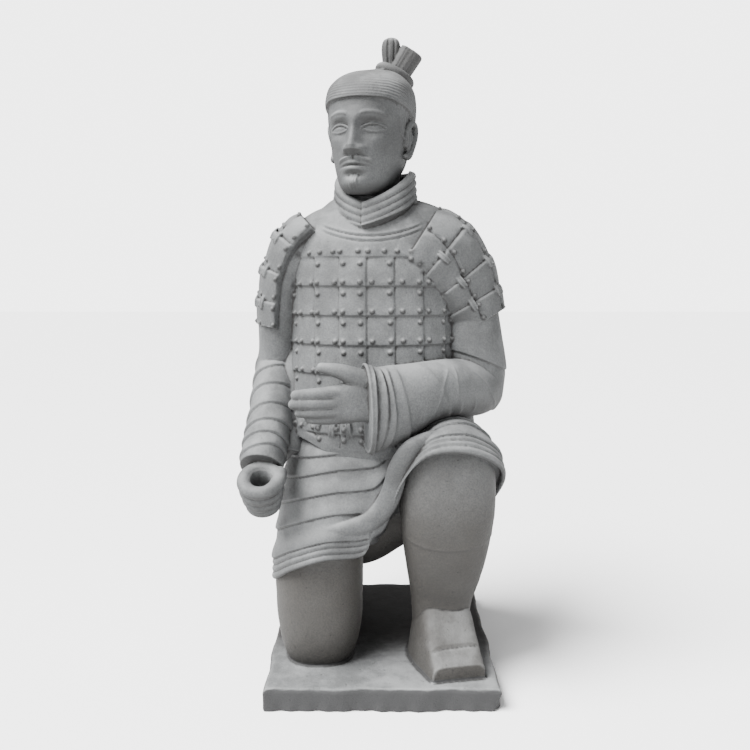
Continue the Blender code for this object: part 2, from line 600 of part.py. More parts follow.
def collar():
    """The wrapped neck cloth: ridges run round it, and it dips to a crossing in front."""
    angle = np.linspace(-math.pi, math.pi, 240, endpoint=False)
    away = np.abs(np.degrees(angle) + 18.0)
    away = np.minimum(away, 360 - away)
    left = np.degrees(angle) > -18.0
    top = 73.0 + 6.0 * np.clip(away / 90, 0, 1) ** 0.85 + 0.4 * np.clip((away - 90) / 90, 0, 1)
    low = 70.1 + 4.0 * np.clip(away / 85, 0, 1) ** 1.35
    profile = []
    sine, cosine = np.sin(angle), np.cos(angle)

    def place(radius_x, radius_y, z):
        return np.stack([-1.05 + radius_x * sine, -0.7 - radius_y * cosine, z], -1)

    profile.append(place(5.3, 5.9, low - 1.0))
    profile.append(place(5.5, 6.2, top - 0.7))
    profile.append(place(5.9, 6.6, top))
    steps = 40
    for k in range(steps + 1):
        share = k / steps
        z = top + (low - top) * share
        drop = top - z
        bulge = 0.38 * np.abs(np.sin(math.pi * drop / collar_ridge)) ** 0.6
        bulge = bulge + 0.5 * left * ramp(-away, -40, -3)
        profile.append(place(6.35 + 0.35 * share + bulge, 7.0 + 0.9 * share + bulge, z - 0.25))
    profile.append(place(5.6, 6.2, low - 1.6))
    points = np.stack(profile, axis=1)
    return Form(points, surface_normals(points, True), looped=True)


def fist():
    """The closed hand: four fingers and a thumb wrapped round the grip hole."""
    lean = unit_rows(np.array(grip_axis))
    right = np.array((1.0, 0, 0))
    forward = np.cross(right, lean)
    top = np.array(grip_top)
    angle = np.linspace(0, 2 * math.pi, 96, endpoint=False)
    around = np.cos(angle)[:, None] * forward + np.sin(angle)[:, None] * right
    pieces = []
    turn = np.linspace(0, 2 * math.pi, 20, endpoint=False)
    for finger, reach in enumerate(grip_reach):
        centre = top - lean * (0.95 + 1.66 * finger)
        thick = 1.02 - 0.05 * finger
        ring = np.cos(turn)[:, None] * around[:, None] * thick + np.sin(turn)[:, None] * lean * 0.95
        pieces.append(Form((centre + around * reach)[:, None] + ring, unit_rows(ring), looped=True))
    core = np.array([top - lean * 0.5, top - lean * 3.0, top - lean * 6.2])
    pieces.append(limb(np.column_stack([core, (2.9, 2.8, 2.3), (2.9, 2.8, 2.3)]), 20, 48, facing=(1, 0, 0)))
    thumb = [
        top + right * 2.6 - forward * 1.8 - lean * 1.4,
        top + right * 2.8 - forward * 0.2 - lean * 0.8,
        top + right * 2.3 + forward * 1.4 - lean * 0.6,
        top + right * 0.9 + forward * 2.5 - lean * 0.8,
    ]
    pieces += cord(thumb, (1.2, 1.1, 1.0, 0.8), 30, 20)
    return pieces


def folded_sleeve():
    """The sleeve before the vest: folds fan out towards its hanging cuff."""
    form = limb(left_forearm, 200, 160, power=2.15)
    share = np.linspace(0, 1, 200)[:, None]
    angle = np.degrees(np.linspace(0, 2 * math.pi, 160, endpoint=False))
    angle = np.where(angle > 200, angle - 360, angle)[None, :]
    down = (75 - angle) / 130
    height = 0.26 * ramp(share, 0.915, 0.935) + 0 * down
    for place, slope, high in sleeve_folds:
        gap = share - place - slope * down
        height += high * ramp(gap, -0.02, 0.004) * ramp(-gap, -0.06, -0.004) * ramp(down, -0.1, 0.25)
    form = form.raised(height)
    last = form.points[-1]
    middle = last.mean(axis=0)
    along = unit_rows(middle - form.points[-2].mean(axis=0))
    return [form, hoop(last - along * 0.1, middle, 0.45, along)]


def hoop(path, middle, radius, lean):
    """A round bar laid along a closed path."""
    turn = np.linspace(0, 2 * math.pi, 20, endpoint=False)
    out = unit_rows(path - middle)[:, None]
    ring = radius * (np.cos(turn)[:, None] * out + np.sin(turn)[:, None] * lean)
    return Form(path[:, None] + ring, unit_rows(ring), looped=True)


def open_hand():
    """The flat hand before the vest, its palm to the body."""
    pieces = [limb(palm, 30, 60, facing=(0, 0, 1), power=2.6)]
    for points, radii in fingers:
        pieces += cord(points, radii, 40, 24)
    return pieces


def plinth():
    """The block under the figure, with slightly worn, uneven edges."""
    wide, deep = plinth_width / 2 / unit, plinth_depth / 2 / unit
    low, high = -plinth_height / unit - 1.0, 0.0
    edge = plinth_chamfer / unit
    rings = []
    across = np.concatenate([np.linspace(-1, 1, 60), np.ones(60), np.linspace(1, -1, 60), -np.ones(60)])
    back = np.concatenate([-np.ones(60), np.linspace(-1, 1, 60), np.ones(60), np.linspace(1, -1, 60)])
    wave = 0.13 * np.sin(across * 9 + back * 7) + 0.1 * np.sin(across * 17 - back * 13 + 1)
    for z, inset in ((low, 0.0), (high - edge * 1.4, 0.0), (high - 0.25 * edge, edge * 0.6), (high, edge)):
        spread = wide * (1 + plinth_flare * (back + 1) / 2) - inset
        x = across * spread + np.sign(across) * wave * (np.abs(across) > 0.99)
        y = back * (deep - inset) + np.sign(back) * wave * (np.abs(back) > 0.99)
        rings.append(np.stack([x, y, np.full(240, z)], -1))
    points = np.array(rings)
    return Form(points, surface_normals(points, True))


def rivet_row(form, z, places):
    """Places and normals of rivets on the vest's front, at one height."""
    i = int(np.argmin(np.abs(form.points[:, 0, 2] - z)))
    x = np.where(form.points[i, :, 1] < 0, form.points[i, :, 0], 99.0)
    picks = [int(np.argmin(np.abs(x - place))) for place in places]
    return [(form.points[i, j], form.normals[i, j]) for j in picks]


def stud(point, normal):
    """A low rivet head: a four-sided stub that starts under the surface."""
    side = unit_rows(np.cross(normal, (0.3, 0.2, 1.0)))
    up = np.cross(normal, side)
    turn = np.linspace(0, 2 * math.pi, 4, endpoint=False)[:, None]
    around = np.cos(turn) * side + np.sin(turn) * up
    radius = rivet_radius / unit
    rings = [point - 0.5 * normal + around * radius * 1.2, point + 0.42 * normal + around * radius * 0.7]
    return Form(np.array(rings), np.array([around] * 2))


def all_forms():
    """The forms that make up the figure, and the rivets on it."""
    plated = vest()
    forms = [plated, robe(), head(), collar(), plinth()]
    rivets = []
    for row in range(7):
        z = plate_row_top - plate_row * row
        rivets += rivet_row(plated, z + 0.8, vest_rivets)
    for stations, power in ((left_leg, 2.7), (right_knee, 2.5), (right_foot, 2.6), (neck, 2.0)):
        forms.append(limb(stations, 120, 96, power=power))
    forms.append(limb(left_shoulder, 120, 96, power=2.1))
    forms.append(limb(right_shoulder, 120, 96, power=2.1))
    forms += folded_sleeve()
    forms.append(sleeve(right_forearm, (0.1, 0.24, 0.38, 0.52, 0.66, 0.8, 0.93)))
    forms.append(limb(left_foot, 80, 96, facing=(0, 0, 1), power=3.6))
    forms.append(limb(right_shin, 80, 96, facing=(0, 0, 1), power=2.4))
    for stations, turn, start, end, columns in guards:
        form, studs = guard(stations, turn, start, end, columns)
        forms.append(form)
        rivets += studs
    forms += ear(1) + ear(-1) + topknot() + fist() + open_hand()
    for web in webs:
        forms.append(limb(web, 30, 48))
    kept = []
    for point, normal in rivets:
        if all(np.linalg.norm(point - other) > 2.3 * rivet_radius / unit for other, _ in kept):
            kept.append((point, normal))
    return forms, [stud(point, normal) for point, normal in kept]


def skin(name, forms):
    """One object holding every form's faces, in metres."""
    points, faces, start = [], [], 0
    for form in forms:
        p, f = form.mesh()
        points.append(p * unit + (0, 0, plinth_height))
        faces += [[i + start for i in face] for face in f]
        start += len(p)
    mesh = bpy.data.meshes.new(name)
    mesh.from_pydata(np.vstack(points).tolist(), [], faces)
    thing = bpy.data.objects.new(name, mesh)
    bpy.context.scene.collection.objects.link(thing)
    return thing


def bake(thing):
    """The mesh that the object's modifiers give."""
    graph = bpy.context.evaluated_depsgraph_get()
    mesh = bpy.data.meshes.new_from_object(thing.evaluated_get(graph))
    thing.modifiers.clear()
    thing.data = mesh


def carve(forms, rivets):
    """One skin over all the forms, made lighter, with rivets, the grip hole and a flat base."""
    statue = skin("statue", forms)
    remesh = statue.modifiers.new("one_skin", "REMESH")
    remesh.mode = "VOXEL"
    remesh.voxel_size = voxel
    smooth = statue.modifiers.new("worn", "SMOOTH")
    smooth.factor = 0.5
    smooth.iterations = 1
    bake(statue)
    group = statue.vertex_groups.new(name="plain")
    fine_from = plinth_height + head_place[2] * unit
    high = [v.index for v in statue.data.vertices if v.co.z > fine_from]
    low = [v.index for v in statue.data.vertices if v.co.z <= fine_from]
    group.add(low, 1.0, "REPLACE")
    group.add(high, 0.8, "REPLACE")
    lighter = statue.modifiers.new("lighter", "DECIMATE")
    count = sum(len(p.vertices) - 2 for p in statue.data.polygons)
    lighter.ratio = triangles_wanted / count
    lighter.vertex_group = "plain"
    lighter.vertex_group_factor = 0.25
    studs = skin("studs", rivets)
    studs.hide_render = True
    studs.display_type = "WIRE"
    for name, cutter, operation in (
        ("rivets", studs, "UNION"), ("grip_hole", grip_cutter(), "DIFFERENCE"),
    ):
        change = statue.modifiers.new(name, "BOOLEAN")
        change.object = cutter
        change.operation = operation
        change.use_self = operation == "UNION"
    bake(statue)
    saw_flat(statue.data)
    return statue


def saw_flat(mesh):
    """Cut the block off level at the ground, and leave the mesh in triangles."""
    shape = bmesh.new()
    shape.from_mesh(mesh)
    cut = bmesh.ops.bisect_plane(
        shape,
        geom=shape.verts[:] + shape.edges[:] + shape.faces[:],
        plane_co=(0, 0, 0),
        plane_no=(0, 0, -1),
        clear_outer=True,
    )
    rim = [piece for piece in cut["geom_cut"] if isinstance(piece, bmesh.types.BMEdge)]
    bmesh.ops.contextual_create(shape, geom=rim)
    drop_crumbs(shape)
    bmesh.ops.dissolve_degenerate(shape, dist=1e-6, edges=shape.edges[:])
    bmesh.ops.triangulate(shape, faces=shape.faces[:])
    bmesh.ops.recalc_face_normals(shape, faces=shape.faces[:])
    shape.to_mesh(mesh)
    shape.free()


def drop_crumbs(shape):
    """Keep the largest connected body only."""
    left, bodies = set(shape.verts), []
    while left:
        body, queue = set(), [left.pop()]
        while queue:
            vert = queue.pop()
            body.add(vert)
            near = {edge.other_vert(vert) for edge in vert.link_edges} & left
            left -= near
            queue += near
        bodies.append(body)
    bodies.sort(key=len)
    crumbs = [vert for body in bodies[:-1] for vert in body]
    bmesh.ops.delete(shape, geom=crumbs, context="VERTS")


def grip_cutter():
    """The bar that leaves the round hole through the fist."""
    lean = unit_rows(np.array(grip_axis))
    middle = (np.array(grip_top) - lean * 2.6) * unit + (0, 0, plinth_height)
    bpy.ops.mesh.primitive_cylinder_add(vertices=32, radius=grip_hole_radius, depth=0.2)
    cutter = bpy.context.object
    cutter.name = "grip_cutter"
    cutter.location = middle
    cutter.rotation_euler = Vector(lean).to_track_quat("Z", "Y").to_euler()
    cutter.hide_render = True
    cutter.display_type = "WIRE"
    return cutter


def stone():
    material = bpy.data.materials.new("grey_stone")
    material.use_nodes = True
    shader = material.node_tree.nodes["Principled BSDF"]
    shader.inputs["Base Color"].default_value = stone_grey
    shader.inputs["Roughness"].default_value = 0.9
    return material


for thing in list(bpy.data.objects):
    bpy.data.objects.remove(thing)
body_forms, rivet_forms = all_forms()
statue = carve(body_forms, rivet_forms)
statue.data.materials.append(stone())
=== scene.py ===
import math

import bpy
import numpy as np
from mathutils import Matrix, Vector
from mathutils.kdtree import KDTree


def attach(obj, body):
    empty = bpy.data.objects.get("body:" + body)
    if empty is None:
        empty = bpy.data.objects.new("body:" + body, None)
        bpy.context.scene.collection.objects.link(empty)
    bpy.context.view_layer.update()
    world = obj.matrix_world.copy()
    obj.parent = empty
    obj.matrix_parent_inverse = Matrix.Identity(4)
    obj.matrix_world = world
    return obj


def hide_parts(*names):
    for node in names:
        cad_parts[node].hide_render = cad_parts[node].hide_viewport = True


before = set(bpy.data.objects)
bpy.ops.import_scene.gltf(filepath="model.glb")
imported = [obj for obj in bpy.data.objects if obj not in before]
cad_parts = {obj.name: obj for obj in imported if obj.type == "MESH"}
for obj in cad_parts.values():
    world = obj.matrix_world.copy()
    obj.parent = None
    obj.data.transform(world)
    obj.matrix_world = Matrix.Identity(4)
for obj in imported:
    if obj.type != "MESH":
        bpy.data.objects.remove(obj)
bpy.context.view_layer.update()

# The figure's own measures are hundredths of its height, counted from the plinth's top:
# x to the viewer's right, y to the back, z up. Left and right are the figure's own.
unit = 0.0118
plinthTop = 0.043
front = np.array((0.0, -1.0, 0.0))


def circle(count):  # angles all round
    return np.linspace(0, 2 * math.pi, count, endpoint=False)


def smoothRows(rows, count, closed=False):  # a smooth curve through the rows
    rows = np.asarray(rows, float)
    spans = len(rows) if closed else len(rows) - 1
    place = np.linspace(0, spans, count, endpoint=not closed)
    start = np.minimum(place.astype(int), spans - 1)
    t = (place - start)[:, None]

    def pick(step):
        if closed:
            return rows[(start + step) % len(rows)]
        return rows[np.clip(start + step, 0, len(rows) - 1)]

    before, here, there, after = (pick(step) for step in (-1, 0, 1, 2))
    bend = 2 * before - 5 * here + 4 * there - after
    twist = 3 * here - before - 3 * there + after
    return 0.5 * (2 * here + (there - before) * t + bend * t**2 + twist * t**3)


def unitRows(vectors):
    return vectors / np.maximum(np.linalg.norm(vectors, axis=-1, keepdims=True), 1e-9)


class Form:  # rings of points with the normals that carving pushes them along
    def __init__(self, points, normals, looped=False):
        self.points = points
        self.normals = normals
        self.looped = looped  # the last ring joins the first, as on a pipe

    def raised(self, height):
        return Form(self.points + self.normals * height[..., None], self.normals, self.looped)

    def arc(self):  # signed length round each ring, from its first point
        step = np.linalg.norm(np.roll(self.points, -1, axis=1) - self.points, axis=2)
        length = np.cumsum(step, axis=1) - step
        whole = step.sum(axis=1, keepdims=True)
        return np.where(length > whole / 2, length - whole, length)

    def faces(self):
        rings, sides = self.points.shape[:2]
        index = np.arange(rings * sides).reshape(rings, sides)
        if self.looped:
            index = np.vstack([index, index[:1]])
        ahead = np.roll(index, -1, axis=1)
        quads = np.stack([index[:-1], ahead[:-1], ahead[1:], index[1:]], axis=-1)
        faces = quads.reshape(-1, 4).tolist()
        points = self.points.reshape(-1, 3)
        if self.looped:
            return points, faces
        poles = [self.points[0].mean(axis=0), self.points[-1].mean(axis=0)]
        for pole, ring in enumerate((index[0], index[-1][::-1])):
            tip = rings * sides + pole
            faces += [[tip, int(b), int(a)] for a, b in zip(ring, np.roll(ring, -1))]
        return np.vstack([points, poles]), faces


def gridNormals(points):
    along = np.gradient(points, axis=0)
    around = np.roll(points, -1, axis=1) - np.roll(points, 1, axis=1)
    normals = unitRows(np.cross(along, around))
    middle = points.mean(axis=(0, 1))
    return normals if ((points - middle) * normals).sum() > 0 else -normals


def limb(stations, along, around, facing=front, power=2.0, turn=1.0):
    # stations are x, y, z, half depth and half width; depth lies along facing, at angle 0
    rows = smoothRows(stations, along)
    way = unitRows(np.gradient(rows[:, :3], axis=0))
    facing = np.asarray(facing, float)
    forward = unitRows(facing - (way @ facing)[:, None] * way)
    across = turn * np.cross(way, forward)
    c, s = np.cos(circle(around)), np.sin(circle(around))
    cSquare = (np.sign(c) * np.abs(c) ** (2 / power))[:, None]
    sSquare = (np.sign(s) * np.abs(s) ** (2 / power))[:, None]
    depth, width = rows[:, 3, None, None], rows[:, 4, None, None]
    forward, across = forward[:, None], across[:, None]
    points = rows[:, None, :3] + forward * depth * cSquare + across * width * sSquare
    normals = unitRows(forward * width * c[:, None] + across * depth * s[:, None])
    return Form(points, normals)


def ball(centre, radii, turns):
    lift = np.linspace(-math.pi / 2 + 0.1, math.pi / 2 - 0.1, turns)
    spin = circle(2 * turns)
    flat = np.cos(lift)[:, None]
    sphere = np.stack([flat * np.cos(spin), flat * np.sin(spin), np.sin(lift)[:, None] + 0 * spin], -1)
    return Form(np.asarray(centre) + sphere * np.asarray(radii), unitRows(sphere))


def cord(points, radius, along, around):
    radii = np.broadcast_to(np.asarray(radius, float), (len(points),))
    stations = np.column_stack([points, radii, radii])
    way = np.asarray(points[-1], float) - np.asarray(points[0], float)
    body = limb(stations, along, around, facing=np.eye(3)[np.argmin(np.abs(way))])
    return [body, ball(points[0], (radii[0],) * 3, 8), ball(points[-1], (radii[-1],) * 3, 8)]


def hoop(path, middle, radius, lean):  # a round bar laid along a closed path
    turn = circle(20)[:, None]
    ring = radius * (np.cos(turn) * unitRows(path - middle)[:, None] + np.sin(turn) * lean)
    return Form(path[:, None] + ring, unitRows(ring), looped=True)


def ridge(distance, width):  # 1 on a line, falling smoothly to 0 at a width from it
    return np.clip(1 - (distance / width) ** 2, 0, 1) ** 2


def bump(x, z, wide, tall):
    return np.exp(-((x / wide) ** 2) - (z / tall) ** 2)


def ramp(value, low, high):
    share = np.clip((value - low) / (high - low), 0, 1)
    return share * share * (3 - 2 * share)


def skin(name, forms):  # one object holding every form's faces, in metres
    points, faces, start = [], [], 0
    for form in forms:
        p, f = form.faces()
        points.append(p * unit + (0, 0, plinthTop))
        faces += [[i + start for i in face] for face in f]
        start += len(p)
    mesh = bpy.data.meshes.new(name)
    mesh.from_pydata(np.vstack(points).tolist(), [], faces)
    piece = bpy.data.objects.new(name, mesh)
    bpy.context.scene.collection.objects.link(piece)
    return piece


def selectOnly(piece):
    bpy.ops.object.select_all(action="DESELECT")
    piece.select_set(True)
    bpy.context.view_layer.objects.active = piece


def applyModifier(piece, kind, **settings):
    selectOnly(piece)
    modifier = piece.modifiers.new(kind.lower(), kind)
    for key, value in settings.items():
        setattr(modifier, key, value)
    bpy.ops.object.modifier_apply(modifier=modifier.name)


def carvePiece(piece, made):
    # the forms become one skin, are worn a little and made lighter where they are plain
    applyModifier(piece, "REMESH", mode="VOXEL", voxel_size=made["voxel"])
    applyModifier(piece, "SMOOTH", factor=0.5, iterations=1)
    for number, (size, strength) in enumerate(made["weather"]):
        worn = bpy.data.textures.new(f"{piece.name}Worn{number}", "CLOUDS")
        worn.noise_scale = size
        worn.noise_depth = 2
        applyModifier(piece, "DISPLACE", texture=worn, texture_coords="LOCAL", strength=strength)
    count = sum(len(p.vertices) - 2 for p in piece.data.polygons)
    markHollows(piece)
    if count > made["triangles"]:
        applyModifier(piece, "DECIMATE", ratio=made["triangles"] / count)
    print(piece.name, "carved:", count, "->", len(piece.data.polygons), "faces")


def readPoints(mesh, name):
    values = np.empty(len(mesh.vertices) * 3)
    mesh.vertices.foreach_get(name, values)
    return values.reshape(-1, 3)


def addMark(mesh, name, values):
    attribute = mesh.attributes.new(name, "FLOAT", "POINT")
    attribute.data.foreach_set("value", values.astype(np.float32))


# turns of smoothing that level each kind of hollow, and the depth in metres that marks it fully
hollows = {5: ("fineHollow", 0.0005), 60: ("broadHollow", 0.004)}


def markHollows(piece):
    # how deep each point lies under, or stands over, the surface round it
    mesh = piece.data
    count = len(mesh.vertices)
    place, normal = readPoints(mesh, "co"), readPoints(mesh, "normal")
    edge = np.empty(len(mesh.edges) * 2, int)
    mesh.edges.foreach_get("vertices", edge)
    a, b = edge.reshape(-1, 2).T
    degree = np.maximum(np.bincount(edge, minlength=count), 1)

    def nearMean(values):
        return (np.bincount(a, values[b], count) + np.bincount(b, values[a], count)) / degree

    soft = place.copy()
    for turn in range(1, max(hollows) + 1):
        soft = 0.4 * soft + 0.6 * np.stack([nearMean(soft[:, k]) for k in range(3)], -1)
        if turn in hollows:
            name, full = hollows[turn]
            depth = ((soft - place) * normal).sum(axis=1)
            for spread in range(3):
                depth = 0.5 * depth + 0.5 * nearMean(depth)
            addMark(mesh, name, np.clip(depth / full, -1, 1))


# The head, its hair and the neck inside the collar
head = {
    "place": (-1.85, -1.1, 74.8),
    "turn": 17.0,
    # height over the chin's underside, face, nape, half width
    "outline": [
        (0.0, -6.6, 0.5, 2.0),
        (0.35, -7.9, 1.6, 3.0),
        (1.4, -8.6, 3.2, 4.0),
        (3.0, -8.5, 4.6, 4.7),
        (5.0, -8.4, 6.0, 5.3),
        (7.0, -8.3, 7.4, 5.7),
        (9.0, -8.2, 8.5, 5.95),
        (11.0, -8.3, 9.2, 6.15),
        (13.0, -8.2, 9.5, 6.35),
        (15.0, -7.6, 9.2, 6.45),
        (17.0, -6.1, 8.0, 6.1),
        (18.6, -4.0, 6.0, 4.9),
        (19.6, -1.8, 3.9, 3.2),
        (20.0, 0.2, 1.8, 1.2),
    ],
    # swellings and hollows of the face: how far each stands out, how far aside and how high
    # it lies, and its half width and half height
    "swellings": (
        (0.95, 1.3, 6.5, 0.55, 0.6),  # nose wings
        (-0.2, 0.8, 5.8, 0.3, 0.2),  # nostrils
        (0.5, 2.9, 11.5, 2.7, 0.8),  # brows
        (-1.0, 2.7, 9.9, 1.7, 1.25),  # eye hollows
        (0.72, 2.85, 9.75, 1.4, 0.72),  # eyeballs
        (0.5, 0.0, 4.6, 2.6, 2.0),
        (-0.5, 0.0, 2.7, 1.5, 0.55),
        (0.45, 0.0, 1.5, 1.4, 0.9),  # chin
        (0.45, 4.1, 8.2, 1.5, 1.3),  # cheeks
        (-0.25, 3.9, 4.9, 1.3, 1.6),
    ),
    # the same for the lips and the dent under them, counted from the line between the lips
    "lips": (
        (0.40, 0.45, 1.75, 0.42),
        (0.48, -0.55, 1.45, 0.48),
        (-0.46, 0.0, 1.9, 0.17),
        (-0.16, 1.0, 0.3, 0.5),
    ),
    # lines along the upper and the lower lid: how far out, over the lid's edge, half width
    "upperLidLines": ((0.26, 0.1, 0.22), (-0.14, -0.16, 0.16), (-0.10, 0.5, 0.2)),
    "lowerLidLines": ((0.16, -0.06, 0.2),),
    "lidHeights": (0.62, 0.46),
    # moustache and brow: how far out, height, bend, half width, and where their ends lie
    "moustache": (0.40, 5.35, 0.16, 0.48, (2.3, 3.1)),
    "brow": (0.24, 12.2, 0.10, 0.42, (4.3, 4.9)),
    "beard": 0.28,
    "hairLine": 0.07,
    "noseHeights": (5.55, 5.9, 6.4, 7.0, 8.3, 9.8, 11.0, 12.0, 13.2),
    "noseOut": (0.0, 1.1, 2.15, 2.35, 1.8, 1.2, 0.8, 0.35, 0.0),
    "lipLine": 4.15,
    "eyeHeight": 9.75,
    "eyeAside": 2.85,
    # the cap of combed hair ends in a step all round; shorter hair shows below it
    "degrees": (0, 40, 70, 90, 120, 150, 180),
    "capEdge": (14.35, 14.2, 13.5, 12.7, 11.0, 9.2, 8.6),
    "templeDegrees": (0, 58, 66, 72, 84, 96, 108, 140, 180),
    "shortHairEdge": (15.7, 14.0, 12.0, 9.2, 8.4, 8.4, 5.0, 2.6, 2.2),
    "capThick": 0.58,
    "shortHairThick": 0.22,
    "strandPitch": 0.47,
    "voxel": 0.0014,
    "triangles": 180000,
    "weather": ((0.02, 0.0006),),
}


def fromHead(x, y, z):  # a place in the head's own measures, in the figure's
    turn = math.radians(head["turn"])
    across = np.asarray(x) * math.cos(turn) + np.asarray(y) * math.sin(turn)
    back = -np.asarray(x) * math.sin(turn) + np.asarray(y) * math.cos(turn)
    place = head["place"]
    return np.stack([across + place[0], back + place[1], z + place[2] + 0 * across], -1)


def headForm():
    rows = smoothRows(head["outline"], 460)
    angle = circle(760)[None, :]
    z, face, nape, half = (rows[:, k, None] for k in range(4))
    middle = (face + nape) / 2 * 0.35 + 0.4
    deep = np.where(np.cos(angle) > 0, middle - face, nape - middle)
    c, s = np.cos(angle), np.sin(angle)
    power = 2 / 2.25
    x = half * np.sign(s) * np.abs(s) ** power
    y = middle - deep * np.sign(c) * np.abs(c) ** power
    z = z + 0 * x
    side = np.abs(x)
    nose = np.interp(z, head["noseHeights"], head["noseOut"])
    noseWide = np.interp(z, (5.6, 7.0, 8.5, 10, 12), (1.15, 1.1, 0.9, 0.82, 1.3))
    lip = head["lipLine"] - 0.05 * side**2
    eye = head["eyeHeight"]
    almond = np.clip(1 - ((side - head["eyeAside"]) / 1.75) ** 2, 0, 1)
    upperHeight, lowerHeight = head["lidHeights"]
    upperLid, lowerLid = eye + upperHeight * almond, eye - lowerHeight * almond
    out = nose * np.exp(-((side / noseWide) ** 2.4))
    for stand, apart, high, wide, tall in head["swellings"]:
        out += stand * bump(side - apart, z - high, wide, tall)
    for stand, over, wide, tall in head["lips"]:
        out += stand * bump(x, z - lip - over, wide, tall)
    for lid, lidLines in ((upperLid, "upperLidLines"), (lowerLid, "lowerLidLines")):
        for stand, over, wide in head[lidLines]:
            out += stand * ridge(z - lid - over, wide) * (almond > 0)
    # moustache in two sweeps, and a strip of beard under the lip
    stand, high, bend, wide, (near, far) = head["moustache"]
    sweep = high - bend * np.maximum(side - 0.4, 0) ** 1.6
    stand = stand + head["hairLine"] * np.sin((z - sweep) * 16)
    out += stand * ridge(z - sweep, wide) * ramp(-side, -far, -near) * ramp(side, -0.5, 0.5)
    strip = ramp(-side, -0.8, -0.5) * ramp(z, 0.3, 0.7) * ramp(-z, -3.0, -2.6)
    out += (head["beard"] + head["hairLine"] * np.sin(x * 16)) * strip
    stand, high, bend, wide, (near, far) = head["brow"]
    brow = high - bend * (side - 2.6) ** 2
    out += stand * ridge(z - brow, wide) * ramp(-side, -far, -near) * ramp(side, 0.9, 1.3)
    degrees = np.degrees(np.minimum(angle, 2 * math.pi - angle))
    overCap = z - np.interp(degrees, head["degrees"], head["capEdge"])
    cap = ramp(overCap, 0.0, 0.1)
    overShort = z - np.interp(degrees, head["templeDegrees"], head["shortHairEdge"])
    shortHair = ramp(overShort, 0.0, 0.25) * (1 - cap)
    sway = 0.9 * np.sin(angle * 3) + 0.5 * np.sin(angle * 7 + z)
    lines = np.sin(overCap * 2 * math.pi / head["strandPitch"] + sway)
    strands = lines * cap * ramp(overCap, 0.15, 0.4) * ramp(-overCap, -4.6, -2.4)
    strands += 0.8 * np.sin(angle * 66 + 1.5 * np.sin(z * 0.9)) * shortHair
    thick = head["capThick"] * cap + head["shortHairThick"] * shortHair
    y = y - out * ramp(c, 0.05, 0.3)
    normal = unitRows(np.stack([x / half**2 * 6, (y - middle) / deep**2 * 6, (z - 9) * 0.02], -1))
    points = np.stack([x, y, z], -1) + normal * (thick + 0.055 * strands)[..., None]
    points = fromHead(points[..., 0], points[..., 1], points[..., 2])
    return Form(points, gridNormals(points))


# The ears: a raised rim round a hollow, with a lobe and the small fold before it
ear = {
    "rim": (
        (6.0, -0.6, 8.0), (6.5, -0.9, 10.2), (6.9, 0.2, 11.5), (7.1, 1.6, 11.0),
        (7.0, 1.9, 9.4), (6.7, 1.3, 7.6), (6.3, 0.2, 6.4), (6.0, -0.6, 6.3),
    ),
    "rimThick": (0.42, 0.46, 0.5, 0.5, 0.5, 0.45, 0.65, 0.45),
    "fold": ((6.4, 0.6, 10.4), (6.6, 1.1, 9.4), (6.4, 0.7, 8.2), (6.2, 0.1, 7.5)),
    "foldThick": 0.3,
}


def earForms(side):
    forms = cord([fromHead(side * x, y, z) for x, y, z in ear["rim"]], ear["rimThick"], 60, 18)
    forms += cord([fromHead(side * x, y, z) for x, y, z in ear["fold"]], ear["foldThick"], 40, 14)
    forms.append(ball(fromHead(side * 6.05, 0.5, 8.9), (0.7, 1.1, 2.1), 14))
    forms.append(ball(fromHead(side * 6.1, -0.6, 8.6), (0.55, 0.4, 0.6), 10))
    return forms


# The tied knot on the crown: a band, an upright lobe and a thick one that leans aside
knot = {
    "place": (2.0, 2.4, 94.5),
    "lean": (0.46, 0.04, 0.88),
    "bandRadius": (2.5, 2.35),
    "bandThick": 1.0,
    # the thin coil that lies beside the band on the crown
    "coil": [(-3.8, 0.6, 94.25, 0.35, 1.6), (-2.0, 0.6, 94.7, 0.5, 2.0), (0.2, 0.8, 94.9, 0.5, 2.0)],
    # stations counted from the band's middle
    "stem": [(-1.0, 0.0, -3.0, 3.0, 3.4), (-0.2, 0.0, -0.8, 2.5, 2.7), (0.4, 0.0, 1.0, 1.8, 2.2)],
    "upright": [
        (-0.5, 0.3, 0.2, 1.5, 1.3775),
        (-0.5, 0.3, 2.2, 1.4, 1.334),
        (-0.45, 0.3, 4.6, 1.5, 1.566),
        (-0.4, 0.4, 5.9, 1.3, 1.305),
        (-0.4, 0.4, 6.42, 0.7, 0.6525),
    ],
    "aside": [(0.5, -0.1, 0.2, 1.7, 1.6575), (1.5, 0.0, 1.7, 1.75, 1.8525), (3.0, 0.1, 4.1, 1.8, 1.95)],
    "groove": 0.34,
}


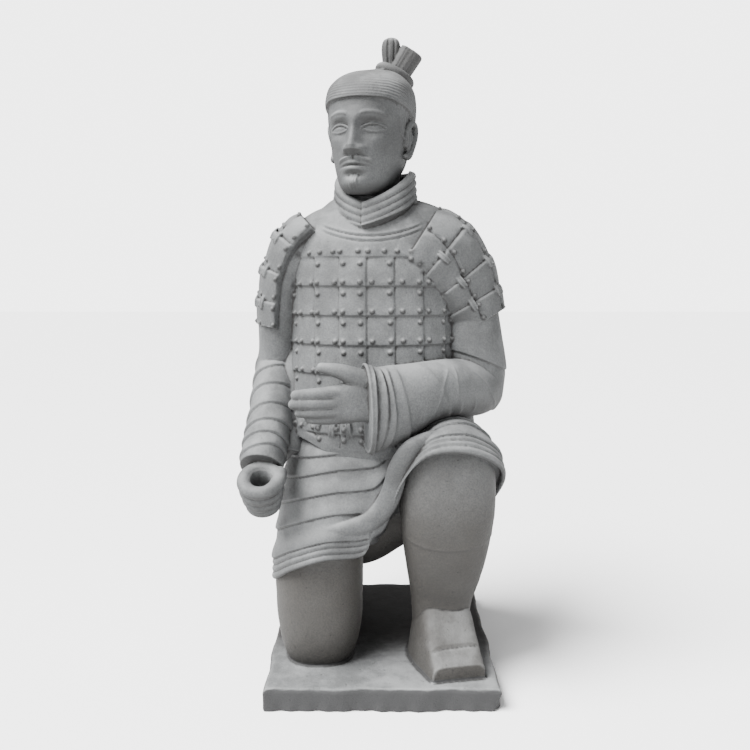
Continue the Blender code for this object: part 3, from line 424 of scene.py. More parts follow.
def knotForms():
    centre, lean = np.array(knot["place"]), unitRows(np.array(knot["lean"]))
    right = unitRows(np.cross((0, 1, 0), lean))
    deep = np.cross(lean, right)
    spin = circle(90)[:, None]
    wide, thick = knot["bandRadius"]
    path = centre + wide * np.cos(spin) * right + thick * np.sin(spin) * deep
    forms = [hoop(path + lean * 0.25, centre, knot["bandThick"], lean)]
    forms.append(hoop(path - lean * 0.55, centre, knot["bandThick"] * 0.9, lean))
    forms.append(limb(knot["coil"], 40, 80, facing=(0, 0, 1), power=2.6))
    lobes = (np.array(knot[name]) + (*centre, 0, 0) for name in ("stem", "upright", "aside"))
    stem, upright, aside = lobes
    forms.append(limb(stem, 30, 60))
    angle = circle(120)
    grooves = ridge(np.sin(angle) - 0.32, 0.17) + ridge(np.sin(angle) + 0.32, 0.17)
    forms.append(limb(upright, 90, 120, power=2.3).raised(-knot["groove"] * grooves))
    lines = 0.04 * np.sin(angle * 24) + 0.03 * np.sin(angle * 9)
    forms.append(limb(aside, 70, 120, power=2.9).raised(lines))
    return forms


neck = [
    (-1.3, 1.2, 66.0, 5.2, 5.0),
    (-1.3, 0.6, 72.0, 5.0, 4.7),
    (-1.5, 0.0, 77.0, 4.9, 4.6),
    (-1.6, -0.2, 82.0, 5.0, 4.8),
]
forms = [headForm(), limb(neck, 60, 80)] + earForms(1) + earForms(-1) + knotForms()
headPiece = skin("soldierHead", forms)
carvePiece(headPiece, head)


# The riveted vest: rows of plates, each overlapping the one below, under a plain yoke
vest = {
    # x, y, z, half depth, half width
    "torso": [
        (-1.0, 0.2, 30.0, 12.2, 14.2),
        (-1.0, -0.2, 36.0, 12.9, 14.6),
        (-1.0, -0.4, 44.0, 11.9, 13.6),
        (-1.1, -0.3, 52.0, 11.1, 13.2),
        (-1.2, 0.1, 60.0, 10.3, 13.4),
        (-1.2, 0.7, 66.0, 9.3, 13.2),
        (-1.2, 1.5, 70.6, 7.4, 10.6),
        (-1.2, 1.9, 74.0, 6.0, 6.9),
    ],
    "rowTop": 64.95,
    "row": 4.56,
    # places of the upright seams round the vest; the plates overlap away from the middle one
    "seams": (
        -34.0, -29.4, -24.8, -20.2, -16.6, -13.3, -9.5, -5.35,
        -1.2, 3.05, 7.6, 11.9, 16.2, 20.6, 25.2, 29.8,
    ),
    "middle": 7.5,
    "hem": 33.6,
    "seam": 0.17,
    "seamDeep": 0.26,
    "rowStep": 0.3,
    "columnStep": 0.24,
    "rivet": 0.37,
    "rivetHigh": 0.42,
    # places of the rivets over and under each row seam, and along the yoke
    "rivetsAbove": (
        -27.0, -22.5, -18.6, -17.2, -14.0, -12.2, -9.9, -8.8, -6.0, -4.7, -2.1,
        -0.4, 2.4, 4.2, 6.8, 8.4, 11.2, 13.2, 15.2, 18.0, 22.5, 27.0,
    ),
    "rivetsBelow": (-24.0, -18.9, -14.2, -8.8, -4.7, -2.1, 2.3, 6.9, 11.2, 15.4, 20.0, 24.6),
    "rivetsYoke": (-12.4, -10.3, -8.4, -6.3, -5.2, -2.5, -1.0, 1.5, 3.4, 5.6),
    # rivets stand this far over and under a row seam, and the yoke's over its edge
    "rivetGaps": (0.78, -1.0, 0.95),
    "yokeLines": (-11.3, -8.4, -1.2, 3.2, 6.4),
    # height, place round the vest and slant of each loop of lacing, and how long they are
    "laces": ((39.0, -11.4, 0.3), (38.6, -9.0, 0.2), (38.2, -6.6, 0.15), (38.4, -4.0, -0.15)),
    "laceLong": 2.1,
}


def vestForms():
    form = limb(vest["torso"], along=900, around=1100, power=2.25)
    form.points = form.points[form.points[:, 0, 2] > vest["hem"] - 3.2]
    form.normals = form.normals[-len(form.points):]
    arc = form.arc()
    z = form.points[..., 2]
    low = vest["hem"] - 0.2 + 3.0 * ramp(np.abs(arc + 1.6), 1.5, 12.0)  # the hem dips in front
    row = (vest["rowTop"] - z) / vest["row"]
    outward = np.abs(np.interp(arc, vest["seams"], np.arange(len(vest["seams"]))) - vest["middle"])
    side = np.where(outward < 0.5, 1.0, (outward - 0.5) % 1.0)
    seamRow = np.abs(row - np.round(row)) * vest["row"]
    seamColumn = np.abs((outward - 0.5) - np.round(outward - 0.5)) * 4.2
    seam = np.maximum(ridge(seamRow, vest["seam"]), ridge(seamColumn, vest["seam"]) * (outward > 0.2))
    plated = ramp(z, low + 1.4, low + 1.8)
    seam = seam * plated
    steps = vest["rowStep"] * (row % 1.0) + vest["columnStep"] * side
    height = 0.45 + steps * plated + 0.3 * (1 - plated) - vest["seamDeep"] * seam
    yoke = ramp(z, vest["rowTop"] - 0.05, vest["rowTop"] + 0.2)
    height = height * (1 - yoke) + 0.75 * yoke
    bow = z - 2.4 * ((arc + 0.6) / 9) ** 2
    neckline = ramp(-np.abs(arc + 0.4), -8.5, -6.5) * yoke
    height += 0.16 * (ridge(bow - 67.7, 0.34) + ridge(bow - 68.5, 0.34)) * neckline
    height -= 0.12 * (ridge(bow - 68.1, 0.2) + ridge(bow - 67.25, 0.2)) * neckline
    for line in vest["yokeLines"]:
        height -= 0.09 * ridge(arc - line - 0.35 * np.sign(line) * (z - 66), 0.14) * yoke
    under = ramp(z, low - 0.1, low + 0.1)
    height = height * under - (0.5 + 2.2 * ramp(low - z, 0.0, 2.5)) * (1 - under)
    vestForm = form.raised(height)
    forms = [vestForm]
    gapOver, gapUnder, gapYoke = vest["rivetGaps"]
    for k in range(7):
        seamHeight = vest["rowTop"] - vest["row"] * k
        if k:
            forms += rivetRow(vestForm, arc, seamHeight + gapOver, vest["rivetsAbove"], low)
        else:
            forms += rivetRow(vestForm, arc, seamHeight + gapYoke, vest["rivetsYoke"], low)
        forms += rivetRow(vestForm, arc, seamHeight + gapUnder, vest["rivetsBelow"], low)
    for z, place, slant in vest["laces"]:
        forms += lace(vestForm, vestPoint(vestForm, arc, z, place), vest["laceLong"], (slant, 0, 1))
    return forms


studPlaces = []


def stud(form, spot):  # a rivet head: a squashed ball on the surface
    point, normal = form.points[spot], form.normals[spot]
    wide, high = vest["rivet"], vest["rivetHigh"]
    studPlaces.append(np.asarray(point) + normal * high * 0.5)
    up = unitRows(np.cross(normal, (0.3, 0.2, 1.0)))
    across = np.cross(normal, up)
    flat = ball((0, 0, 0), (1, 1, 1), 9).points
    points = point + flat[..., 0, None] * across * wide + flat[..., 1, None] * up * wide
    points = points + flat[..., 2, None] * normal * high
    return Form(points, unitRows(points - point))


def vestPoint(form, arc, z, place):  # the grid point at a height and a place round the vest
    i = int(np.argmin(np.abs(form.points[:, 0, 2] - z)))
    return i, int(np.argmin(np.abs(arc[i] - place)))


def rivetRow(form, arc, z, places, low):
    studs = []
    for spot in (vestPoint(form, arc, z, place) for place in places):
        point = form.points[spot]
        if point[1] < 3 and point[2] > low[spot] + 0.5:  # none on the back or past the hem
            studs.append(stud(form, spot))
    return studs


def lace(form, spot, length, slant):  # a loop of lacing: two short bars side by side
    forms = []
    point, normal = form.points[spot], form.normals[spot]
    along = unitRows(np.cross(normal, np.cross(np.array(slant, float), normal)))
    across = np.cross(along, normal)
    for shift in (-0.27, 0.27):
        a = point + across * shift - along * length / 2
        b = point + across * shift + along * length / 2
        forms += cord([a, (a + b) / 2 + normal * 0.12, b], (0.16, 0.24, 0.16), 14, 10)
    return forms


# Guards over the shoulders: one row of plates from each station to the next
guards = {
    "left": [
        (4.9, 0.5, 66.3, 9.8, 7.9),
        (8.4, 0.5, 64.0, 9.2, 8.5),
        (11.7, 0.5, 60.5, 8.3, 7.6),
        (13.9, 0.3, 57.0, 7.3, 6.3),
        (15.5, 0.1, 54.0, 6.5, 5.4),
    ],
    "right": [
        (-8.8, 0.5, 67.2, 8.6, 6.7),
        (-11.6, 0.5, 64.6, 8.0, 6.9),
        (-13.9, 0.5, 61.0, 7.3, 5.9),
        (-15.2, 0.4, 57.0, 6.7, 5.0),
        (-15.9, 0.3, 53.2, 6.0, 4.5),
    ],
    # where the plates start in front, at the top, halfway and at the end, and where they end behind
    "leftAngles": ((-14.0, -34.0, -36.0), 192.0),
    "rightAngles": ((30.0, 24.0, 14.0), 190.0),
    "columns": 5,
    "thick": 0.72,
    "laceLong": 2.0,
    "rings": 420,
    "sides": 900,
}


def guardForms(stations, turn, angles):
    rings, sides = guards["rings"], guards["sides"]
    form = limb(stations, rings, sides, turn=turn)
    rows, columns = len(stations) - 1, guards["columns"]
    row = np.linspace(0, rows, rings)[:, None]
    start, end = np.interp(row, (0, rows / 2, rows), angles[0]), angles[1]
    angle = np.degrees(circle(sides))
    angle = np.where(angle > 270, angle - 360, angle)[None, :]
    column = (angle - start) / (end - start) * columns
    inside = ramp(angle, start, start + 3.0) * ramp(-angle, -end, -end + 3.0)
    seamRow = ridge((row - np.round(row)) * 4.2, 0.26) * (np.round(row) > 0) * (np.round(row) < rows)
    seamColumn = ridge((column - np.round(column)) * 4.0, 0.26)
    middle = np.abs(column - columns / 2 + 0.5)
    height = guards["thick"] * (0.58 + 0.42 * (1 - row % 1.0)) + 0.22 * (1 - middle % 1.0)
    height = height * (0.35 + 0.65 * ramp(row, 0.0, 0.6))
    height = height - 0.3 * np.maximum(seamRow, seamColumn)
    form = form.raised(np.where(inside > 0, height * inside, -1.5))
    forms = [form]
    for r in range(rows):
        for k in range(columns + 1):
            for share in (0.2, 0.8):
                i = int((r + share) / rows * (rings - 1))
                first = start[i, 0]
                place = first + (end - first) * k / columns + {0: 5.0, columns: -5.0}.get(k, 3.0)
                spot = i, int(round(place / 360 * sides)) % sides
                forms.append(stud(form, spot))
            if 0 < k < columns and r:
                i = int((r + 0.08) / rows * (rings - 1))
                j = int(round((place - 6.5) / 360 * sides)) % sides
                along = form.points[min(i + 12, rings - 1), j] - form.points[i - 12, j]
                forms += lace(form, (i, j), guards["laceLong"], along)
    return forms


# The wrapped neck cloth, which dips to a crossing in front
collar = {
    "centre": (-1.05, -0.7),
    "front": -18.0,
    "ridge": 1.12,
    "ridgeHigh": 0.34,
    "top": 73.8,
    "low": 70.1,
    "lap": 0.5,
}


def collarForm():
    angle = np.linspace(-math.pi, math.pi, 520, endpoint=False)
    away = np.abs(np.degrees(angle) - collar["front"])
    away = np.minimum(away, 360 - away)
    left = np.degrees(angle) > collar["front"]
    top = collar["top"] + 5.2 * np.clip(away / 90, 0, 1) ** 1.25 + 0.4 * np.clip((away - 90) / 90, 0, 1)
    low = collar["low"] + 4.0 * np.clip(away / 85, 0, 1) ** 1.15
    sine, cosine = np.sin(angle), np.cos(angle)
    x, y = collar["centre"]

    def place(radiusX, radiusY, z):
        return np.stack([x + radiusX * sine, y - radiusY * cosine, z], -1)

    profile = [place(5.2, 5.8, low - 1.0), place(5.4, 6.1, top - 0.9), place(5.8, 6.5, top - 0.05)]
    for share in np.linspace(0, 1, 90):
        z = top + (low - top) * share
        drop = top - z
        swell = collar["ridgeHigh"] * np.abs(np.sin(math.pi * drop / collar["ridge"])) ** 0.55
        swell = swell + collar["lap"] * left * ramp(-away, -40, -3)  # the left side laps over the right
        profile.append(place(6.35 + 0.35 * share + swell, 7.0 + 0.9 * share + swell, z - 0.25))
    profile.append(place(5.6, 6.2, low - 1.6))
    points = np.stack(profile, axis=1)
    return Form(points, gridNormals(points), looped=True)


# Arms, the sleeve pushed into rings, the hanging cuff, the fist and the open hand
arms = {
    "leftShoulder": [
        (3.0, 1.6, 70.4, 6.6, 4.8),
        (8.0, 1.0, 68.8, 6.8, 4.7),
        (12.2, 0.6, 64.8, 6.6, 4.6),
        (14.2, 0.3, 60.2, 6.2, 4.6),
        (14.5, -0.9, 55.2, 6.15, 5.1),
        (14.8, -1.5, 50.0, 6.22, 5.55),
        (15.2, -1.4, 45.2, 6.02, 5.6),
        (15.8, -1.6, 41.6, 5.2, 4.6),
        (15.8, -2.0, 39.6, 3.0, 3.0),
    ],
    "leftForearm": [
        (16.4, -1.0, 43.6, 4.4, 4.6),
        (14.6, -4.5, 43.8, 4.5, 4.7),
        (10.4, -9.4, 44.4, 4.1, 4.6),
        (6.2, -12.5, 44.0, 3.8, 4.9),
        (2.6, -14.3, 43.0, 3.8, 5.8),
        (0.0, -15.4, 42.3, 3.8, 6.25),
        (-2.4, -16.0, 42.2, 3.7, 6.4),
    ],
    "rightShoulder": [
        (-5.2, 1.6, 69.9, 6.6, 4.7),
        (-10.0, 1.0, 68.4, 6.8, 4.3),
        (-13.6, 0.7, 64.6, 6.6, 4.4),
        (-16.0, 0.5, 59.6, 6.1, 4.1),
        (-16.7, 0.5, 54.6, 5.6, 4.0),
        (-17.0, 0.8, 49.4, 5.2, 3.8),
        (-17.7, 1.0, 45.4, 4.7, 3.9),
        (-17.7, 0.8, 42.6, 3.4, 3.0),
    ],
    "rightForearm": [
        (-17.6, 1.6, 47.4, 4.4, 3.6),
        (-17.7, -2.0, 43.8, 4.6, 3.7),
        (-18.0, -6.6, 39.2, 4.4, 3.6),
        (-18.5, -10.4, 35.3, 4.2, 3.5),
        (-18.8, -13.2, 32.4, 3.9, 3.4),
    ],
    "sleeveRings": (0.08, 0.24, 0.39, 0.53, 0.64, 0.76, 0.88),
    # place along the forearm, slope and height of each fold before the cuff
    "cuffFolds": (
        (0.93, 0.0, 0.34), (0.80, 0.09, 0.42), (0.715, 0.13, 0.36),
        (0.66, 0.05, 0.22), (0.52, -0.12, 0.16), (0.43, -0.10, 0.14),
    ),
    # slopes of the creases that spread from the crook of the elbow
    "creases": (-0.30, -0.12, 0.04, 0.18),
}


def sleeveForm():
    form = limb(arms["rightForearm"], 420, 300, power=2.1)
    share = np.linspace(0, 1, 420)[:, None]
    angle = circle(300)[None, :]
    height = np.zeros(form.points.shape[:2])
    for number, ring in enumerate(arms["sleeveRings"]):
        tilt = 0.035 * np.sin(angle) - 0.05 * np.cos(angle) * (1 - ring)
        sway = 0.012 * np.sin(angle + number * 1.9) + 0.006 * np.sin(3 * angle + number)
        gap = share - ring - tilt - sway
        height += 0.26 * ramp(gap, -0.10, 0.0) * ramp(-gap, -0.014, 0.002)
        height -= 0.08 * ridge(gap - 0.012, 0.011)
    return form.raised(height)


def upperSleeve():  # its hem crosses the arm above the elbow, lower on the outside
    form = limb(arms["leftShoulder"], 420, 300, power=2.1)
    across = np.clip((form.points[..., 0] - 10.0) / 10.5, 0, 1)
    gap = form.points[..., 2] - (50.3 - 3.7 * across**1.5)
    hem = 0.26 * ramp(gap, -0.05, 0.12) * ramp(-gap, -6.0, 0.0)
    return form.raised(hem - 0.12 * ridge(gap + 0.12, 0.18))


def foldedSleeve():  # folds fan out over the forearm towards the cuff
    form = limb(arms["leftForearm"], 520, 420, power=2.15)
    share = np.linspace(0, 1, 520)[:, None]
    angle = np.degrees(circle(420))
    angle = np.where(angle > 200, angle - 360, angle)[None, :]
    down = (75 - angle) / 130
    height = np.zeros(form.points.shape[:2])
    for place, slope, high in arms["cuffFolds"]:
        gap = share - place - slope * down
        height += high * ramp(gap, -0.012, 0.004) * ramp(-gap, -0.06, -0.004) * ramp(down, -0.1, 0.25)
    height += 0.26 * ramp(share, 0.925, 0.935)
    for slope in arms["creases"]:
        crease = ridge(share - 0.36 - slope * down, 0.007) * ramp(down, 0.12, 0.3)
        height += 0.13 * crease * ramp(-down, -1.0, -0.75)
    form = form.raised(height)
    last = form.points[-1]
    middle = last.mean(axis=0)
    along = unitRows(middle - form.points[-3].mean(axis=0))
    return [form, hoop(last - along * 0.1, middle, 0.28, along)]


grip = {
    "top": (-18.42, -17.4, 32.1),
    "axis": (0.0, -0.545, 0.839),
    "hole": 0.0192,  # radius in metres
    "reach": (2.62, 2.5, 2.3, 1.95),
    "fingerPitch": 1.66,
    # places of the thumb aside, forward and down from the hole's top, and its radii
    "thumb": ((2.6, -1.8, 1.4), (2.8, -0.2, 0.8), (2.3, 1.4, 0.6), (0.9, 2.5, 0.8)),
    "thumbThick": (1.2, 1.1, 1.0, 0.8),
    "wrist": [
        (-18.5, -9.5, 34.5, 2.8, 2.8),
        (-18.5, -12.4, 32.2, 2.7, 2.7),
        (-18.5, -14.4, 30.0, 2.6, 2.6),
    ],
    # how far under the hole's top the middle of the fist is filled, and how wide
    "core": ((0.5, 2.9), (3.0, 2.8), (6.2, 2.3)),
}


def fistForms():
    lean = unitRows(np.array(grip["axis"]))
    right = np.array((1.0, 0, 0))
    forward = np.cross(right, lean)
    top = np.array(grip["top"])
    angle = circle(140)[:, None]
    around = np.cos(angle) * forward + np.sin(angle) * right
    turn = circle(28)[:, None]
    forms = []
    for finger, reach in enumerate(grip["reach"]):
        centre = top - lean * (0.95 + grip["fingerPitch"] * finger)
        ring = np.cos(turn) * around[:, None] * (1.02 - 0.05 * finger) + np.sin(turn) * lean * 0.95
        forms.append(Form((centre + around * reach)[:, None] + ring, unitRows(ring), looped=True))
    core = [(*(top - lean * down), radius, radius) for down, radius in grip["core"]]
    forms.append(limb(core, 30, 80, facing=(1, 0, 0)))
    thumb = [top + right * aside + forward * ahead - lean * down for aside, ahead, down in grip["thumb"]]
    forms += cord(thumb, grip["thumbThick"], 50, 30)
    forms.append(limb(grip["wrist"], 30, 60))
    return forms


hand = {
    "palm": [
        (-0.5, -16.0, 43.6, 3.2, 1.6),
        (-3.0, -16.4, 43.6, 3.4, 1.75),
        (-5.8, -16.8, 43.2, 2.95, 1.5),
        (-8.4, -17.1, 43.1, 2.6, 1.15),
    ],
    "fingers": (
        (((-4.6, -16.7, 44.8), (-9.0, -17.5, 44.65), (-12.9, -17.0, 44.3)), (1.15, 1.02, 0.84)),
        (((-4.8, -16.9, 43.3), (-9.3, -17.7, 43.15), (-13.3, -17.2, 43.0)), (1.1, 1.0, 0.8)),
        (((-4.8, -16.9, 42.0), (-9.1, -17.6, 41.85), (-12.4, -17.1, 41.75)), (1.05, 0.95, 0.78)),
        (((-4.8, -16.5, 40.95), (-8.6, -17.2, 40.8), (-11.0, -16.9, 40.75)), (0.95, 0.86, 0.7)),
        (((-2.8, -16.4, 46.4), (-6.0, -17.2, 47.9), (-9.0, -16.9, 48.5)), (1.8, 1.2, 0.8)),
    ),
}


def handForms():
    forms = [limb(hand["palm"], 60, 120, facing=(0, 0, 1), power=2.7)]
    for number, (points, radii) in enumerate(hand["fingers"]):
        forms += cord(points, radii, 70, 36)
        tip, before = np.array(points[2]), np.array(points[1])
        way = unitRows(tip - before)
        if number < 4:  # the joints swell a little and the nail is a low plate
            for share in (0.28, 0.72):
                joint = before + (tip - before) * share + (0, -0.06, 0)
                forms.append(ball(joint, (0.5, radii[1] * 0.95, radii[1] * 0.92), 12))
        forms.append(ball(tip + way * 0.15 + (0, -radii[2] * 0.78, 0.05), (0.42, 0.14, 0.34), 10))
    return forms


# The robe hangs from the waist: each column is a point there, one halfway and one on the hem
robe = {
    "columns": [
        ((-1.0, -12.4, 37.0), (-1.6, -14.9, 28.0), (-3.3, -15.8, 18.9)),
        ((1.0, -12.3, 37.0), (0.4, -14.6, 29.0), (-1.9, -15.5, 21.3)),
        ((3.0, -12.2, 37.0), (2.6, -14.2, 30.0), (0.6, -14.8, 23.4)),
        ((6.0, -11.4, 38.0), (5.2, -14.8, 35.6), (3.0, -17.7, 31.0)),
        ((8.5, -10.0, 38.5), (8.4, -15.2, 39.2), (6.8, -19.0, 35.4)),
        ((11.2, -7.6, 38.5), (12.8, -13.0, 39.6), (13.0, -19.2, 36.0)),
        ((12.4, -3.6, 38.0), (16.7, -8.6, 36.8), (18.2, -16.0, 33.0)),
        ((12.6, 1.0, 37.5), (17.2, -1.5, 33.0), (19.3, -6.4, 26.6)),
        ((11.6, 7.0, 37.0), (15.6, 8.0, 29.0), (16.4, 7.0, 18.0)),
        ((6.0, 11.0, 37.0), (9.5, 15.5, 27.0), (9.8, 16.6, 12.0)),
        ((-1.0, 12.2, 37.0), (-1.0, 17.2, 26.0), (-1.2, 19.0, 10.5)),
        ((-8.0, 11.0, 37.0), (-11.0, 15.4, 26.0), (-11.6, 18.0, 9.6)),
        ((-12.6, 6.0, 37.0), (-16.4, 8.4, 25.5), (-17.6, 9.4, 9.8)),
        ((-14.2, 0.6, 38.0), (-16.8, 0.0, 26.0), (-18.0, -2.6, 11.2)),
        ((-13.6, -4.6, 38.0), (-16.2, -8.0, 26.6), (-17.1, -11.4, 13.6)),
        ((-10.6, -9.2, 37.5), (-12.8, -13.4, 27.4), (-13.9, -16.0, 16.7)),
        ((-6.0, -11.8, 37.0), (-7.2, -15.4, 28.0), (-9.0, -17.6, 18.8)),
    ],
    "underside": (0.5, 1.0, 15.8),
    # how far down each of the four pleats lies, and where the upper layer ends, by column
    "pleatColumns": (0, 1, 2, 3, 4, 5, 6, 7, 9, 13, 14, 15, 16, 17),
    "pleats": (
        (0.10, 0.06, 0.02, 0.00, 0.05, 0.10, 0.15, 0.20, 0.22, 0.25, 0.24, 0.20, 0.14, 0.10),
        (0.24, 0.17, 0.10, 0.07, 0.16, 0.22, 0.28, 0.34, 0.38, 0.40, 0.38, 0.34, 0.27, 0.24),
        (0.42, 0.35, 0.24, 0.18, 0.30, 0.38, 0.42, 0.48, 0.53, 0.58, 0.55, 0.50, 0.45, 0.42),
        (0.61, 0.62, 0.61, 0.58, 0.56, 0.56, 0.58, 0.62, 0.68, 0.74, 0.71, 0.67, 0.63, 0.61),
    ),
    "rims": (3.0, 0.9, 0.8, 0.9, 2.3, 2.5, 2.5, 2.5, 2.8, 3.0, 3.0, 3.0, 3.0, 3.0),
    "cordsShow": (1, 0, 0, 0, 1, 1, 1, 1, 1, 1, 1, 1, 1, 1),
    "pleatHigh": 0.34,
    "cords": 3,
    "cordHigh": 0.42,
    # the upper layer's rounded edge, from the hem up to the knee
    "band": [
        (-10.5, -16.0, 22.4, 0.6, 0.90),
        (-6.6, -16.2, 23.2, 1.0, 1.30),
        (-2.5, -15.5, 24.2, 1.0, 1.60),
        (0.3, -15.2, 26.6, 1.0, 1.65),
        (1.7, -15.9, 30.0, 1.0, 1.60),
        (2.4, -17.1, 33.3, 1.0, 1.50),
        (3.9, -17.6, 36.0, 1.0, 1.40),
        (5.9, -17.0, 37.3, 0.9, 1.20),
        (8.2, -15.9, 37.9, 0.7, 1.00),
        (10.6, -14.6, 37.6, 0.5, 0.80),
    ],
    "roll": 0.4,
    "rollWide": 4.0,
    "swell": 0.62,
    "voxel": 0.0018,
    "triangles": 190000,
    "weather": ((0.03, 0.0006), (0.009, 0.0002)),
}


def robeForm():
    table = np.array(robe["columns"]).reshape(len(robe["columns"]), -1)
    columns = smoothRows(table, 1300, closed=True)
    waist, middle, hem = columns[:, :3], columns[:, 3:6], columns[:, 6:]
    drop = np.linspace(0, 1, 420)[:, None, None]
    outside = waist * (1 - drop) * (1 - 2 * drop)
    outside = outside + middle * 4 * drop * (1 - drop) + hem * drop * (2 * drop - 1)
    form = Form(outside, gridNormals(outside))
    length = np.linalg.norm(np.diff(outside, axis=0), axis=2).sum(axis=0)
    fromHem = (1 - drop[..., 0]) * length
    height = np.zeros(outside.shape[:2])
    column = np.linspace(0, len(table), outside.shape[1], endpoint=False)
    for shares in robe["pleats"]:
        gap = (drop[..., 0] - np.interp(column, robe["pleatColumns"], shares)) * length
        height += robe["pleatHigh"] * ramp(gap, -2.8, -0.1) * ramp(-gap, -0.16, 0.02)
        height -= 0.10 * ridge(gap - 0.12, 0.2)
    rim = np.interp(column, robe["pleatColumns"], robe["rims"])
    show = ramp(np.interp(column, robe["pleatColumns"], robe["cordsShow"]), 0.35, 0.9)
    past = fromHem - rim
    swell = robe["swell"] * ramp(past, -0.12, 0.12) * ramp(-past, -3.2, -0.4)
    cords = robe["cordHigh"] * np.abs(np.sin(math.pi * robe["cords"] * fromHem / rim)) ** 0.5
    across = np.clip(fromHem / robe["rollWide"], 0, 1)
    roll = robe["roll"] * np.sin(math.pi * across) ** 0.55 * (1 - show)
    upper = height * ramp(past, 0.0, 1.5) + np.maximum(swell * show, roll)
    height = np.where(past < 0, show * cords + roll, upper)
    form = form.raised(height)
    under = np.array(robe["underside"])
    lip = hem + unitRows(under - hem) * 0.45
    inner = lip + unitRows(under - hem) * 0.3 + (0, 0, 1.2)
    rings = [lip, inner] + [inner + (under - inner) * share for share in (0.3, 0.6, 0.9)]
    return Form(np.vstack([form.points, rings]), np.vstack([form.normals] + [form.normals[-1:]] * 5))


body = {
    "webs": (
        [(12.4, 0.0, 46.0, 5.0, 3.4), (12.3, -1.0, 40.0, 5.5, 3.2), (12.6, -2.0, 35.0, 6.0, 3.4)],
        [(-14.0, 0.0, 48.0, 4.5, 3.5), (-15.2, -3.5, 40.0, 4.0, 3.0), (-15.5, -7.5, 33.0, 3.5, 3.0)],
    ),
    "voxel": 0.0018,
    "triangles": 197000,
    "weather": ((0.03, 0.0006), (0.009, 0.0003)),
}
forms = vestForms() + [collarForm(), upperSleeve(), limb(arms["rightShoulder"], 200, 160, power=2.1)]
forms += [sleeveForm()] + foldedSleeve() + fistForms() + handForms()
forms += guardForms(guards["left"], -1.0, guards["leftAngles"])
forms += guardForms(guards["right"], 1.0, guards["rightAngles"])
forms += [limb(web, 60, 80) for web in body["webs"]]
bodyPiece = skin("soldierBody", forms)


def cutGrip():  # the round hole through the fist
    lean = Vector(unitRows(np.array(grip["axis"])))
    middle = Vector(np.array(grip["top"]) * unit) - lean * 3.0 * unit + Vector((0, 0, plinthTop))
    bpy.ops.mesh.primitive_cylinder_add(vertices=64, radius=grip["hole"], depth=0.16, location=middle)
    cutter = bpy.context.object
    cutter.rotation_euler = lean.to_track_quat("Z", "Y").to_euler()
    applyModifier(bodyPiece, "BOOLEAN", object=cutter, operation="DIFFERENCE")
    bpy.data.objects.remove(cutter)


def markStuds(piece):  # 1 on the rivets, which are coloured darker
    tree = KDTree(len(studPlaces))
    for number, place in enumerate(studPlaces):
        tree.insert(Vector(place * unit) + Vector((0, 0, plinthTop)), number)
    tree.balance()
    away = np.array([tree.find(vertex.co)[2] for vertex in piece.data.vertices])
    addMark(piece.data, "studMask", np.clip(1 - (away - 0.0045) / 0.0025, 0, 1))


carvePiece(bodyPiece, body)
cutGrip()
markStuds(bodyPiece)
robePiece = skin("soldierRobe", [robeForm(), limb(robe["band"], 200, 120, power=2.2)])
carvePiece(robePiece, robe)


